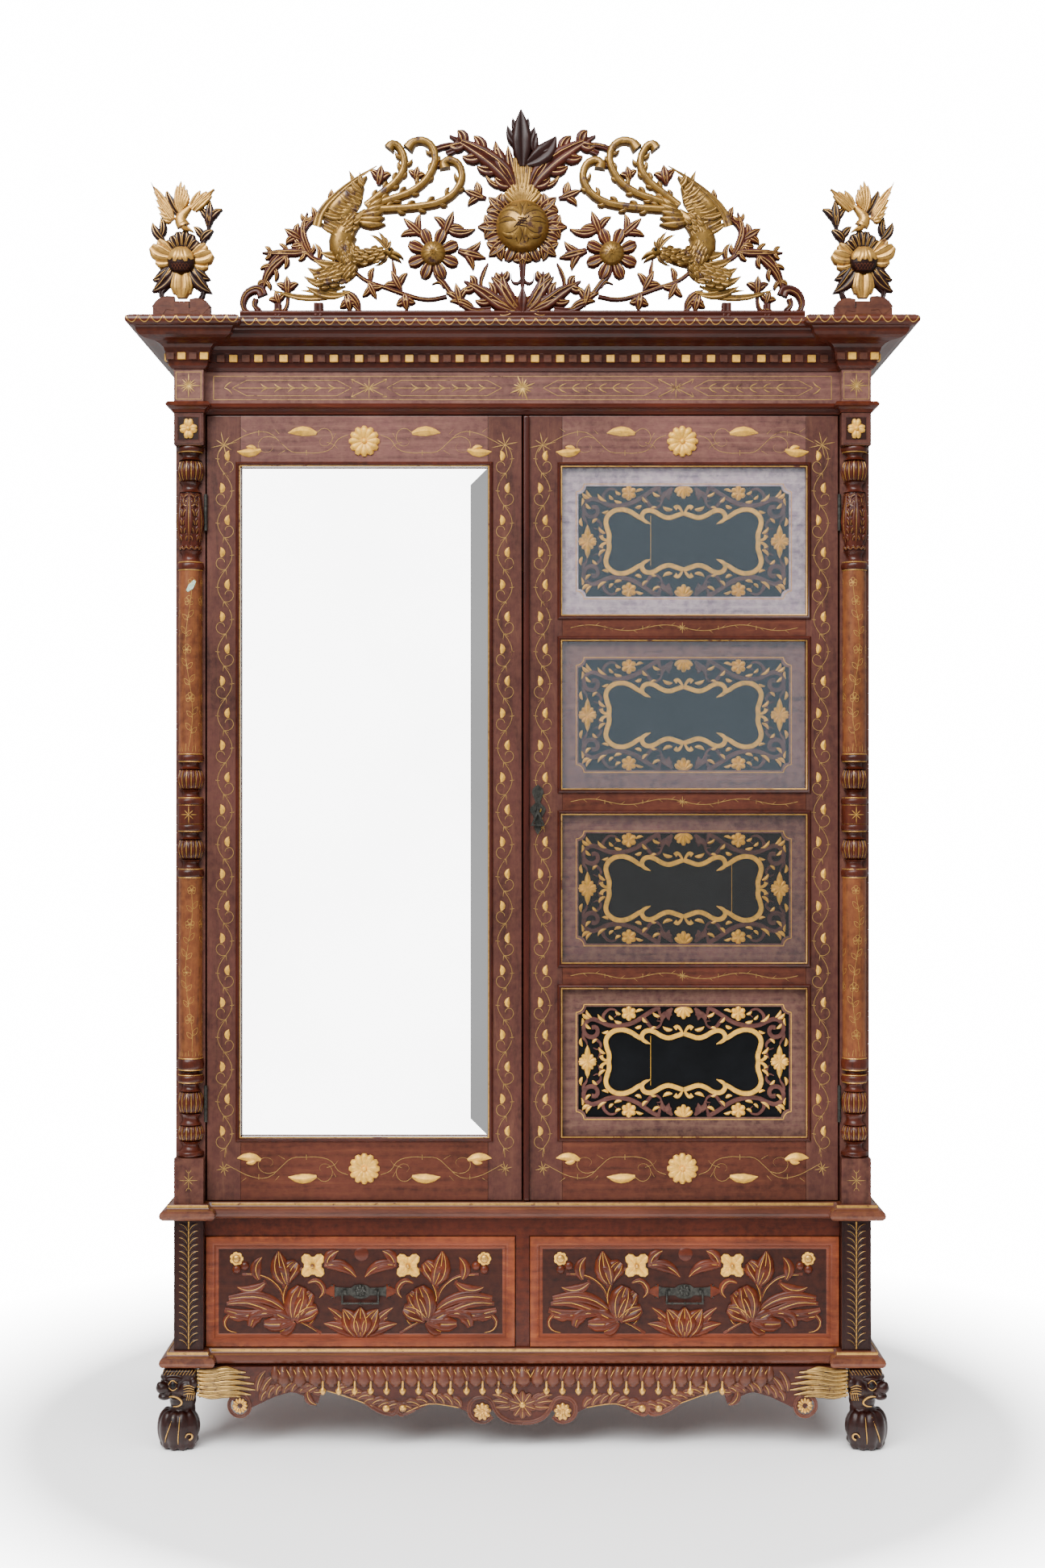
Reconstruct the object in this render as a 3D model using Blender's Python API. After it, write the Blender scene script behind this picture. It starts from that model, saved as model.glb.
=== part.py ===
"""Two-door armoire with a mirror door, a fretwork door, two drawers and a carved crest.

Metres, +Z up. The origin is on the floor under the middle of the cornice, the front faces -Y.
Run with: blender --background --python part.py
"""

import math

import bmesh
import bpy
from mathutils import Matrix, Vector

# ---------------------------------------------------------------- driving dimensions
SEAM = 0.0003                # gap kept between two pieces that touch

CARCASS_W = 1.337            # over the outer faces of the corner posts
CARCASS_D = 0.508            # from the front face of the posts to the back
STEP = 0.026                 # corner blocks stand this far in front of the middle
POST_W = 0.0565              # width of a corner post and of the blocks on it
POST_D = 0.045
PANEL_T = 0.018              # side panels, shelf and dust board
BACK_T = 0.012
SIDE_INSET = 0.004           # side panels lie this far inside the posts' outer faces
BACK_INSET = 0.003

LEG_H = 0.157
BASE_T = 0.030
DRAWER_OPEN_H = 0.215
RAIL_H = 0.036
WAIST_T = 0.030
DOOR_OPEN_H = 1.517
TOP_T = 0.020
FRIEZE_H = 0.063
CORNICE_T = 0.090
FRIEZE_WALL = 0.020

WAIST_OUT = 0.025            # how far each moulding stands out from the carcass
ARCHITRAVE_OUT = 0.0145
CORNICE_OUT = 0.0805

DIVIDER_W = 0.026            # post between the two drawers
FACE_FRAME_T = 0.022
GUIDE_H = 0.040              # drawer guides behind the divider and on the case sides
GUIDE_GAP = 0.0015

DRAWER_GAP = 0.0015
DRAWER_FRONT_T = 0.022
DRAWER_PROUD = 0.004         # drawer fronts stand proud of the face frame
DRAWER_BORDER = 0.024
DRAWER_FIELD_DEPTH = 0.005
TRAY_BACK_GAP = 0.045        # free space behind a closed tray
TRAY_H = 0.150
TRAY_WALL = 0.011
TRAY_BOTTOM = 0.008
TRAY_INSET = 0.003           # tray sides lie inside the ends of the front

DOOR_T = 0.026
DOOR_GAP_Z = 0.002
HINGE_GAP = 0.0032           # between a door's edge and its post
MEETING_GAP = 0.003
LIP = 0.009                  # wood in front of the glass and the mirror
REBATE = 0.008
REBATE_GAP = 0.001
LEFT_STILE = 0.0650
RIGHT_STILE_OUTER = 0.0610
RIGHT_STILE_INNER = 0.0745
TOP_RAIL = 0.098
BOTTOM_RAIL = 0.1225
MID_RAIL = 0.050
PANEL_COUNT = 4
MIRROR_T = 0.005
MIRROR_BEVEL = 0.038
MIRROR_EDGE_T = 0.0025
BOARD_T = 0.006              # mirror backboard
GLASS_T = 0.003
FRET_T = 0.006
FRET_MARGIN_X = 0.088        # from the sight edge to the middle opening of the fretwork
FRET_MARGIN_Z = 0.084
DARK_BOARD_T = 0.004
BEAD_W = 0.012               # meeting bead on the right door
BEAD_PROUD = 0.008

HINGE_H = 0.070
HINGE_LEAF_T = 0.0010
HINGE_LEAF_D = 0.020
KNUCKLE_R = 0.0034
KNUCKLE_GAP = 0.0006
PIN_R = 0.0014
PIN_CLEAR = 0.0004
KNUCKLE_CLEAR = 0.0008       # between the knuckles and the doors' faces
HINGE_END = 0.187            # from a door's end to the middle of its hinge

COLUMN_SEGMENTS = 10
COLUMN_MARGIN = 0.002        # the column's widest ring lies this far inside its post
BLOCK_TOP_H = 0.062
BLOCK_BOTTOM_H = 0.087

SHELF_DROP = 0.295           # underside of the shelf below the top of the cupboard
SHELF_SETBACK = 0.045
CLEAT_T = 0.018              # boards on the side panels that carry the shelf and the rail
CLEAT_H = 0.090
RAIL_R = 0.012
RAIL_DROP = 0.060            # middle of the hanging rail below the shelf
RAIL_SEAT = 0.012            # how far the rail's ends go into the cleats

CREST_GAP = 0.052            # between the crest and each finial
CREST_H = 0.412
CREST_T = 0.030
CREST_FORWARD = 0.045        # middle of the crest in front of the carcass face
BOSS_R = 0.052
FINIAL_H = 0.262
FINIAL_W = 0.112
FINIAL_T = 0.028
FINIAL_SHIFT = 0.010         # finials stand this far outside the middle of their blocks

LEG_INSET_X = 0.012          # leg axis inside the posts' outer face
LEG_FORWARD = 0.010          # front leg axis in front of the carcass face
FOOT_R = 0.044
KNEE_R = 0.035
ANKLE_R = 0.024
REAR_LEG_INSET = 0.018       # from the back to the rear feet
APRON_T = 0.024
APRON_FORWARD = 0.030
APRON_END_GAP = 0.002        # from a leg to the end of an apron

PLATE_T = 0.0025
PLATE_W = 0.114
PLATE_H = 0.028
EYE_X = 0.0300               # pivot eyes of a drawer pull, from its middle
EYE_W = 0.005
EYE_H = 0.008
EYE_D = 0.0085
BAIL_R = 0.0013
PIVOT_CLEAR = 0.0004         # between a pivot and the wall of its hole
BAIL_DROP = 0.022
BAIL_AXIS_PROUD = 0.0055     # bail axis in front of the plate
BAIL_ARM_GAP = 0.0012        # between an eye and the bail's arm

DOOR_PULL_INSET = 0.028      # from the edge of the door to the middle of its pull
DOOR_PULL_W = 0.031
DOOR_PULL_H = 0.096
DROP_W = 0.028
DROP_H = 0.034
DROP_NECK = 0.006            # straight part that hangs between the ears
DROP_R = 0.0016              # half the thickness of its bars
DROP_CLEAR = 0.0010          # between its neck and the ears
CLEVIS_EAR_T = 0.0022
CLEVIS_GAP = 0.0066
CLEVIS_AXIS_PROUD = 0.0060

# ---------------------------------------------------------------- derived places
half_w = CARCASS_W / 2
depth = CARCASS_D + STEP + CORNICE_OUT
back_y = depth / 2
face_y = back_y - CARCASS_D
step_y = face_y - STEP

z_base = LEG_H
z_case = z_base + BASE_T
z_rail = z_case + DRAWER_OPEN_H
z_waist = z_rail + RAIL_H
z_doors = z_waist + WAIST_T
z_top = z_doors + DOOR_OPEN_H
z_frieze = z_top + TOP_T
z_cornice = z_frieze + FRIEZE_H
z_crest = z_cornice + CORNICE_T

opening_half = half_w - POST_W
door_w = opening_half - HINGE_GAP - MEETING_GAP / 2
door_low = z_doors + DOOR_GAP_Z
door_high = z_top - DOOR_GAP_Z
hinge_x = opening_half - HINGE_GAP / 2
hinge_y = face_y - KNUCKLE_R - KNUCKLE_CLEAR
pull_x = MEETING_GAP / 2 + DOOR_PULL_INSET
pull_z = (door_low + door_high) / 2
eye_hole_r = BAIL_R + PIVOT_CLEAR
column_r = POST_W / 2 - COLUMN_MARGIN
finial_x = half_w - POST_W / 2 + FINIAL_SHIFT
sight_low = door_low + BOTTOM_RAIL
sight_high = door_high - TOP_RAIL
panel_h = (sight_high - sight_low - (PANEL_COUNT - 1) * MID_RAIL) / PANEL_COUNT


# ---------------------------------------------------------------- materials
def make_material(name, colour, roughness, metallic=0.0):
    material = bpy.data.materials.new(name)
    material.use_nodes = True
    shader = material.node_tree.nodes["Principled BSDF"]
    shader.inputs["Base Color"].default_value = (*colour, 1.0)
    shader.inputs["Roughness"].default_value = roughness
    shader.inputs["Metallic"].default_value = metallic
    material.diffuse_color = (*colour, 1.0)
    return material


def make_materials():
    return {
        "wood": make_material("red_brown_wood", (0.13, 0.042, 0.024), 0.42),
        "dark": make_material("dark_carved_wood", (0.065, 0.022, 0.016), 0.45),
        "inner": make_material("plain_inner_wood", (0.22, 0.11, 0.06), 0.6),
        "gilt": make_material("gilt_carving", (0.62, 0.40, 0.13), 0.35, 0.7),
        "mirror": make_material("mirror_glass", (0.9, 0.9, 0.9), 0.03, 1.0),
        "glass": make_material("clear_glass", (0.85, 0.88, 0.9), 0.05),
        "black": make_material("black_board", (0.01, 0.01, 0.012), 0.3),
        "iron": make_material("black_iron", (0.03, 0.03, 0.032), 0.5, 0.9),
    }


# ---------------------------------------------------------------- mesh helpers
def finish_mesh(name, bm, material, smooth_angle=None):
    """Turns a bmesh with its faces pointing out into an object in the scene."""
    bmesh.ops.recalc_face_normals(bm, faces=bm.faces)
    mesh = bpy.data.meshes.new(name)
    bm.to_mesh(mesh)
    bm.free()
    if smooth_angle is not None:
        mesh.shade_smooth()
        mesh.set_sharp_from_angle(angle=math.radians(smooth_angle))
    mesh.materials.append(material)
    obj = bpy.data.objects.new(name, mesh)
    bpy.context.scene.collection.objects.link(obj)
    return obj


def board(name, low, high, material):
    """A plain box between two corners."""
    bm = bmesh.new()
    size = Vector(high) - Vector(low)
    middle = (Vector(high) + Vector(low)) / 2
    bmesh.ops.create_cube(bm, size=1.0)
    bmesh.ops.scale(bm, vec=size, verts=bm.verts)
    bmesh.ops.translate(bm, vec=middle, verts=bm.verts)
    return finish_mesh(name, bm, material)


def prism(name, outline, along, start, end, material):
    """An outline pushed along one axis: (x, z) points along Y, (y, z) along X, (x, y) along Z."""
    place = {
        "X": lambda a, b, t: (t, a, b),
        "Y": lambda a, b, t: (a, t, b),
        "Z": lambda a, b, t: (a, b, t),
    }[along]
    bm = bmesh.new()
    face = bm.faces.new([bm.verts.new(place(a, b, start)) for a, b in outline])
    pushed = bmesh.ops.extrude_face_region(bm, geom=[face])
    moved = [v for v in pushed["geom"] if isinstance(v, bmesh.types.BMVert)]
    shift = Vector(place(0, 0, end)) - Vector(place(0, 0, start))
    bmesh.ops.translate(bm, vec=shift, verts=moved)
    return finish_mesh(name, bm, material)


def loft(name, rings, material, smooth_angle=None):
    """A closed solid through rings that all have the same number of points."""
    bm = bmesh.new()
    levels = [[bm.verts.new(point) for point in ring] for ring in rings]
    count = len(levels[0])
    bm.faces.new(levels[0])
    bm.faces.new(levels[-1])
    for lower, upper in zip(levels, levels[1:]):
        for i in range(count):
            j = (i + 1) % count
            bm.faces.new((lower[i], lower[j], upper[j], upper[i]))
    return finish_mesh(name, bm, material, smooth_angle)


def rod(name, centre, axis, radius, length, material, segments=16):
    """A cylinder about its centre, along a row axis."""
    turn = {
        "X": Matrix.Rotation(math.pi / 2, 4, "Y"),
        "Y": Matrix.Rotation(math.pi / 2, 4, "X"),
        "Z": Matrix.Identity(4),
    }[axis]
    bm = bmesh.new()
    bmesh.ops.create_cone(
        bm, cap_ends=True, segments=segments, radius1=radius, radius2=radius, depth=length,
        matrix=Matrix.Translation(centre) @ turn,
    )
    return finish_mesh(name, bm, material, 40)


def boolean(target, tool, operation):
    """Cuts or joins tool with target by a Boolean modifier, and hides the tool."""
    modifier = target.modifiers.new(operation.lower(), "BOOLEAN")
    modifier.operation = operation
    modifier.object = tool
    tool.hide_render = True
    tool.display_type = "WIRE"
    return target


def drill(target, centre, axis, radius, length, segments=16):
    cutter = rod(target.name + "_drill", centre, axis, radius, length, target.data.materials[0], segments)
    return boolean(target, cutter, "DIFFERENCE")


def pocket(target, low, high):
    """Cuts a box out of target."""
    cutter = board(f"{target.name}_pocket_{len(target.modifiers)}", low, high, target.data.materials[0])
    return boolean(target, cutter, "DIFFERENCE")


def flat_curve(name, outlines, thickness, place, material, resolution=3):
    """A board sawn to smooth closed outlines in (x, z): the first is its edge, the others are holes."""
    curve = bpy.data.curves.new(name, "CURVE")
    curve.dimensions = "2D"
    curve.fill_mode = "BOTH"
    curve.extrude = thickness / 2
    curve.resolution_u = resolution
    for outline in outlines:
        spline = curve.splines.new("BEZIER")
        spline.bezier_points.add(len(outline) - 1)
        spline.use_cyclic_u = True
        for point, (x, z, *corner) in zip(spline.bezier_points, outline):
            point.co = (x, z, 0)
            handle = "VECTOR" if corner else "AUTO"
            point.handle_left_type = point.handle_right_type = handle
    sawn = bpy.data.objects.new(name + "_curve", curve)
    bpy.context.scene.collection.objects.link(sawn)
    bpy.context.view_layer.update()
    graph = bpy.context.evaluated_depsgraph_get()
    mesh = bpy.data.meshes.new_from_object(sawn.evaluated_get(graph))
    bpy.data.objects.remove(sawn)
    bm = bmesh.new()
    bm.from_mesh(mesh)
    bpy.data.meshes.remove(mesh)
    bmesh.ops.remove_doubles(bm, verts=bm.verts, dist=1e-6)
    bmesh.ops.transform(bm, matrix=Matrix.Rotation(math.pi / 2, 4, "X"), verts=bm.verts)
    bmesh.ops.translate(bm, vec=place, verts=bm.verts)
    return finish_mesh(name, bm, material)


def mirrored(half):
    """A closed outline from its right half, listed from the top down."""
    return half + [(-x, z, *corner) for x, z, *corner in reversed(half) if x > 1e-9]


def tube(name, points, radius, material, sides=2):
    """A bent wire through points."""
    curve = bpy.data.curves.new(name, "CURVE")
    curve.dimensions = "3D"
    curve.bevel_depth = radius
    curve.bevel_resolution = sides
    curve.use_fill_caps = True
    spline = curve.splines.new("POLY")
    spline.points.add(len(points) - 1)
    for target, point in zip(spline.points, points):
        target.co = (*point, 1)
    curve.materials.append(material)
    obj = bpy.data.objects.new(name, curve)
    bpy.context.scene.collection.objects.link(obj)
    return obj


def as_mesh(obj):
    """The same object as a mesh, so that a Boolean can use it."""
    bpy.context.view_layer.update()
    graph = bpy.context.evaluated_depsgraph_get()
    name = obj.name
    mesh = bpy.data.meshes.new_from_object(obj.evaluated_get(graph))
    material = obj.data.materials[0]
    bpy.data.objects.remove(obj)
    bm = bmesh.new()
    bm.from_mesh(mesh)
    bpy.data.meshes.remove(mesh)
    bmesh.ops.remove_doubles(bm, verts=bm.verts, dist=1e-6)
    return finish_mesh(name, bm, material, 40)


def axis_empty(name, place):
    """An empty on a joint's axis, which the moving pieces are parented to."""
    empty = bpy.data.objects.new(name, None)
    empty.location = place
    bpy.context.scene.collection.objects.link(empty)
    return empty


def hang_on(empty, *objects):
    """Parents pieces to a joint's empty and leaves them where they are."""
    for obj in objects:
        obj.parent = empty
        obj.matrix_parent_inverse = Matrix.Translation(empty.location).inverted()


# ---------------------------------------------------------------- mouldings
def quarter(z, out, height, width, start, end, steps=4):
    """Points of an elliptic arc in a moulding's profile, angles in degrees from straight out."""
    angles = [math.radians(start + (end - start) * i / steps) for i in range(steps + 1)]
    return [(z + height * math.sin(a), out + width * math.cos(a)) for a in angles]


def breakfront(out, z):
    """The carcass outline, which steps forward at both corners, grown outwards and set at height z."""
    side = half_w + out
    inner = half_w - POST_W - out
    front, middle = step_y - out, face_y - out
    outline = [
        (-side, back_y), (-side, front), (-inner, front), (-inner, middle),
        (inner, middle), (inner, front), (side, front), (side, back_y),
    ]
    return [(x, y, z) for x, y in outline]


def moulded_slab(name, z_low, profile, material):
    """A board with a moulded edge on its front and sides. The profile lists (height, overhang)."""
    rings = [breakfront(out, z_low + height) for height, out in profile]
    return loft(name, rings, material)


def torus_profile(thickness, overhang):
    """A half-round nosing under a small fillet."""
    nose = 0.36 * thickness
    arc = quarter(nose, overhang - 0.011, nose - SEAM, 0.011, -90, 90, 6)
    return [
        (SEAM, overhang - 0.015), *arc,
        (2 * nose + 0.001, overhang - 0.0125), (thickness, overhang - 0.0165),
    ]


def cornice_profile():
    """Bed moulding, dentil band, cyma and a rounded top band."""
    cyma_low = quarter(0.032, 0.041, 0.018, 0.026, 180, 90, 4)
    cyma_high = quarter(0.068, 0.041, 0.018, 0.022, -90, 0, 4)
    top_band = quarter(0.0805, CORNICE_OUT - 0.0085, 0.0085, 0.0085, -60, 60, 4)
    return [
        (SEAM, 0.003), (0.006, 0.008), (0.015, 0.010),
        (0.0155, 0.013), (0.0315, 0.0145), *cyma_low, *cyma_high[1:],
        (0.0705, 0.066), (0.071, CORNICE_OUT - 0.009), *top_band, (CORNICE_T, CORNICE_OUT - 0.009),
    ]


# ---------------------------------------------------------------- base and drawer case
def make_leg(name, x, y, mask_forward, material):
    """A short leg: square knee block, narrow ankle and a ball foot with a flat sole."""
    sections = [
        (0.00, FOOT_R * 0.70, 0.0), (0.05, FOOT_R * 0.86, 0.0), (0.15, FOOT_R * 0.98, 0.0),
        (0.25, FOOT_R, 0.0), (0.38, FOOT_R * 0.88, 0.0), (0.51, (FOOT_R + ANKLE_R) * 0.42, 0.0),
        (0.60, ANKLE_R, 0.0), (0.68, ANKLE_R * 1.04, 0.4), (0.78, KNEE_R * 0.90, 1.0),
        (0.89, KNEE_R, 1.0), (1.00, KNEE_R * 0.98, 0.6),
    ]
    rings = []
    for share, radius, lean in sections:
        z = LEG_H * share
        forward = mask_forward * lean
        squareness = 0.5 if share < 0.7 else 0.32
        ring = []
        for i in range(12):
            a = 2 * math.pi * (i + 0.5) / 12
            across = math.copysign(abs(math.cos(a)) ** (2 * squareness), math.cos(a))
            ahead = math.copysign(abs(math.sin(a)) ** (2 * squareness), math.sin(a))
            ring.append((x + radius * across, y - forward + radius * ahead, z))
        rings.append(ring)
    return loft(name, rings, material, 60)


def make_base(m):
    leg_x = half_w - LEG_INSET_X
    front_leg_y = face_y - LEG_FORWARD
    rear_leg_y = back_y - REAR_LEG_INSET - FOOT_R
    for side, sign in (("left", -1), ("right", 1)):
        make_leg(f"leg_front_{side}", sign * leg_x, front_leg_y, 0.008, m["dark"])
        make_leg(f"leg_rear_{side}", sign * leg_x, rear_leg_y, 0.0, m["dark"])
        inner, outer = sorted((sign * (leg_x - APRON_T / 2), sign * (leg_x + APRON_T / 2)))
        start, end = front_leg_y + FOOT_R + SEAM, rear_leg_y - FOOT_R - SEAM
        low, arch = LEG_H * 0.70, LEG_H * 0.82
        side_outline = [
            (start, LEG_H), (start, low), (start + 0.05, arch),
            (end - 0.05, arch), (end, low), (end, LEG_H),
        ]
        prism(f"apron_{side}", side_outline, "X", inner, outer, m["wood"])

    end_x = leg_x - KNEE_R - APRON_END_GAP
    lower_edge = [
        (0.000, 0.32), (0.060, 0.39), (0.090, 0.48, "cusp"), (0.134, 0.36), (0.164, 0.43), (0.198, 0.50),
        (0.291, 0.54), (0.364, 0.43), (0.387, 0.50, "cusp"), (0.411, 0.43), (0.496, 0.56), (0.606, 0.71),
        (0.623, 0.68, "cusp"), (0.633, 0.55, "cusp"), (0.680, 0.65), (0.717, 0.69), (0.812, 0.55),
        (0.868, 0.48), (0.905, 0.65, "cusp"), (0.925, 0.70), (1.000, 0.62, "cusp"),
    ]
    shaped = [(x * end_x, z * LEG_H, *corner) for x, z, *corner in lower_edge]
    outline = mirrored([(end_x, LEG_H, "cusp")] + shaped[::-1])
    apron_y = face_y - APRON_FORWARD + APRON_T / 2
    flat_curve("apron_front", [outline], APRON_T, (0, apron_y, 0), m["dark"], 2)

    moulded_slab("base_moulding", z_base, torus_profile(BASE_T, WAIST_OUT), m["wood"])


def make_case(m):
    low, high = z_case + SEAM, z_waist
    behind = face_y + POST_D + SEAM
    outer = half_w - SIDE_INSET
    guide_back = back_y - BACK_INSET - BACK_T - SEAM
    for side, sign in (("left", -1), ("right", 1)):
        x0, x1 = sorted((sign * outer, sign * (outer - PANEL_T)))
        case_side = board(f"case_side_{side}", (x0, behind, low), (x1, back_y, high), m["inner"])
        tray_side = opening_half - DRAWER_GAP - TRAY_INSET
        x0, x1 = sorted((sign * (outer - PANEL_T / 2), sign * (tray_side + GUIDE_GAP)))
        guide_top = z_case + GUIDE_H
        side_guide = board(f"side_guide_{side}", (x0, behind, low), (x1, guide_back, guide_top), m["inner"])
        boolean(case_side, side_guide, "UNION")
        x0, x1 = sorted((sign * half_w, sign * opening_half))
        board(f"pilaster_{side}", (x0, step_y, low), (x1, face_y + POST_D, high), m["dark"])
    inside = outer - PANEL_T - SEAM
    rear = back_y - BACK_INSET
    board("case_back", (-inside, rear - BACK_T, low), (inside, rear, high), m["inner"])

    edge, post = opening_half - SEAM, DIVIDER_W / 2
    tee = [
        (-edge, high), (-edge, z_rail), (-post, z_rail), (-post, low),
        (post, low), (post, z_rail), (edge, z_rail), (edge, high),
    ]
    face_frame = prism("face_frame", tee, "Y", face_y, face_y + FACE_FRAME_T, m["wood"])
    guide_half = post + DRAWER_GAP + TRAY_INSET - GUIDE_GAP
    guide = board("face_frame_guide", (-guide_half, face_y + FACE_FRAME_T + SEAM, low + SEAM),
                  (guide_half, guide_back, z_case + GUIDE_H), m["wood"])
    tongue = board("guide_tongue", (-post / 2, face_y + FACE_FRAME_T / 2, low + 2 * SEAM),
                   (post / 2, face_y + 2 * FACE_FRAME_T, z_case + GUIDE_H / 2), m["wood"])
    boolean(face_frame, tongue, "UNION")
    boolean(face_frame, guide, "UNION")

    moulded_slab("waist_moulding", z_waist, torus_profile(WAIST_T, WAIST_OUT), m["wood"])


def make_drawer(side, sign, m):
    """Front with a sunk field, a tray, an iron plate and its bail."""
    x_inner = DIVIDER_W / 2 + DRAWER_GAP
    x_outer = opening_half - DRAWER_GAP
    middle = sign * (x_inner + x_outer) / 2
    half = (x_outer - x_inner) / 2
    low, high = z_case + DRAWER_GAP, z_rail - DRAWER_GAP
    front_y = face_y - DRAWER_PROUD
    back_of_front = front_y + DRAWER_FRONT_T

    front = board(f"drawer_front_{side}", (middle - half, front_y, low),
                  (middle + half, back_of_front, high), m["wood"])
    field_low = (middle - half + DRAWER_BORDER, front_y - 0.01, low + DRAWER_BORDER)
    field_high = (middle + half - DRAWER_BORDER, front_y + DRAWER_FIELD_DEPTH, high - DRAWER_BORDER)
    pocket(front, field_low, field_high)

    tray_half = half - TRAY_INSET
    tray_end = back_y - BACK_INSET - BACK_T - TRAY_BACK_GAP
    tray = board(f"drawer_tray_{side}", (middle - tray_half, back_of_front + SEAM, low),
                 (middle + tray_half, tray_end, low + TRAY_H), m["inner"])
    pocket(tray, (middle - tray_half + TRAY_WALL, back_of_front + TRAY_WALL, low + TRAY_BOTTOM),
           (middle + tray_half - TRAY_WALL, tray_end - TRAY_WALL, high))

    field_y = front_y + DRAWER_FIELD_DEPTH - SEAM
    centre_z = (low + high) / 2
    plate, bail = make_drawer_pull(side, middle, field_y, centre_z, m["iron"])
    slide = axis_empty(f"drawer_slide_{side}", (middle, front_y, centre_z))
    hang_on(slide, front, tray, plate)
    swing = axis_empty(f"bail_axis_{side}", (middle, field_y - PLATE_T - BAIL_AXIS_PROUD, centre_z))
    hang_on(swing, bail)


def make_drawer_pull(side, middle, field_y, centre_z, iron):
    """A fishtailed plate with two pierced eyes, and a bail whose ends turn in them."""
    w, h = PLATE_W / 2, PLATE_H / 2
    half_top = [
        (0.0, h, 1), (w * 0.21, h * 0.85, 1), (w * 0.32, h * 0.50, 1), (w * 0.78, h * 0.58, 1),
        (w, h * 0.95, 1), (w * 0.86, 0.0, 1),
    ]
    half_outline = half_top + [(x, -z, 1) for x, z, _ in reversed(half_top[:-1])]
    plate_y = field_y - PLATE_T / 2
    plate = flat_curve(f"drawer_pull_plate_{side}", [mirrored(half_outline)], PLATE_T,
                       (middle, plate_y, centre_z), iron, 1)
    axis_y = field_y - PLATE_T - BAIL_AXIS_PROUD
    for sign in (-1, 1):
        x = middle + sign * EYE_X
        eye = board(f"eye_{side}_{sign}", (x - EYE_W / 2, field_y - PLATE_T - EYE_D, centre_z - EYE_H / 2),
                    (x + EYE_W / 2, field_y - PLATE_T / 2, centre_z + EYE_H / 2), iron)
        boolean(plate, eye, "UNION")
    drill(plate, (middle, axis_y, centre_z), "X", eye_hole_r, 2 * EYE_X + 4 * EYE_W, 12)

    end, arm = EYE_X - EYE_W / 2 + SEAM, EYE_X + EYE_W / 2 + BAIL_ARM_GAP + BAIL_R
    bottom = centre_z - BAIL_DROP
    half_path = [(-end, centre_z), (-arm, centre_z), (-arm, bottom)]
    path = [(middle + x, axis_y, z) for x, z in half_path]
    path += [(middle - x, axis_y, z) for x, z in reversed(half_path)]
    bail = as_mesh(tube(f"drawer_bail_{side}", path, BAIL_R, iron))
    return plate, bail


# ---------------------------------------------------------------- cupboard
def column_profile(low, high):
    """(height, radius) of the turned column from its foot to its top, as rings, coves, bulbs and shafts."""
    ring, neck, shaft, bulb = column_r * 0.955, column_r * 0.63, column_r * 0.86, column_r * 0.975
    parts = [
        (0.000, ring), (0.012, ring), (0.014, neck * 1.15), (0.026, neck),
        (0.032, shaft), (0.046, bulb), (0.060, shaft), (0.066, neck), (0.078, neck),
        (0.088, shaft), (0.104, bulb), (0.122, shaft), (0.132, shaft * 0.95), (0.140, shaft),
        (0.146, ring), (0.156, ring),
        (0.160, neck * 1.1), (0.172, shaft), (0.180, ring), (0.190, shaft),
    ]
    middle = [
        (0.540, shaft), (0.544, ring), (0.553, ring), (0.558, neck), (0.570, neck),
        (0.576, shaft), (0.592, bulb), (0.608, shaft), (0.614, neck), (0.624, neck * 1.1), (0.632, ring),
        (0.642, column_r), (0.676, column_r), (0.686, ring), (0.692, neck * 1.1), (0.704, neck),
        (0.710, shaft), (0.726, bulb), (0.744, shaft), (0.750, neck), (0.760, neck * 1.1), (0.768, ring),
        (0.776, shaft),
    ]
    upper = [
        (1.130, shaft), (1.134, ring), (1.142, ring), (1.146, neck * 1.1), (1.164, neck * 1.15),
        (1.170, bulb), (1.190, shaft * 0.95), (1.250, bulb), (1.276, shaft), (1.282, neck), (1.294, neck),
        (1.300, shaft * 0.95), (1.318, bulb), (1.338, shaft * 0.95), (1.344, neck), (1.356, neck * 1.15),
        (1.360, ring), (1.368, ring),
    ]
    drawn = upper[-1][0]
    return [(low + (high - low) * z / drawn, r) for z, r in parts + middle + upper]


def make_column(side, sign, m):
    """Half of a turning, flat on the post behind it."""
    x = sign * (half_w - POST_W / 2)
    back = face_y - SEAM
    low = z_doors + BLOCK_BOTTOM_H + SEAM
    high = z_top - BLOCK_TOP_H - SEAM
    rings = []
    for z, radius in column_profile(low, high):
        angles = [math.pi * i / COLUMN_SEGMENTS for i in range(COLUMN_SEGMENTS + 1)]
        rings.append([(x + radius * math.cos(a), back - radius * math.sin(a), z) for a in angles])
    return loft(f"column_{side}", rings, m["wood"], 50)


def make_post(side, sign, m):
    """A corner post with a block above and below the column."""
    low, high = z_doors + SEAM, z_top
    x0, x1 = sorted((sign * half_w, sign * opening_half))
    foot, head = z_doors + BLOCK_BOTTOM_H, z_top - BLOCK_TOP_H
    rear = face_y + POST_D
    outline = [
        (rear, low), (step_y, low), (step_y, foot), (face_y, foot),
        (face_y, head), (step_y, head), (step_y, high), (rear, high),
    ]
    return prism(f"post_{side}", outline, "X", x0, x1, m["wood"])


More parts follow.
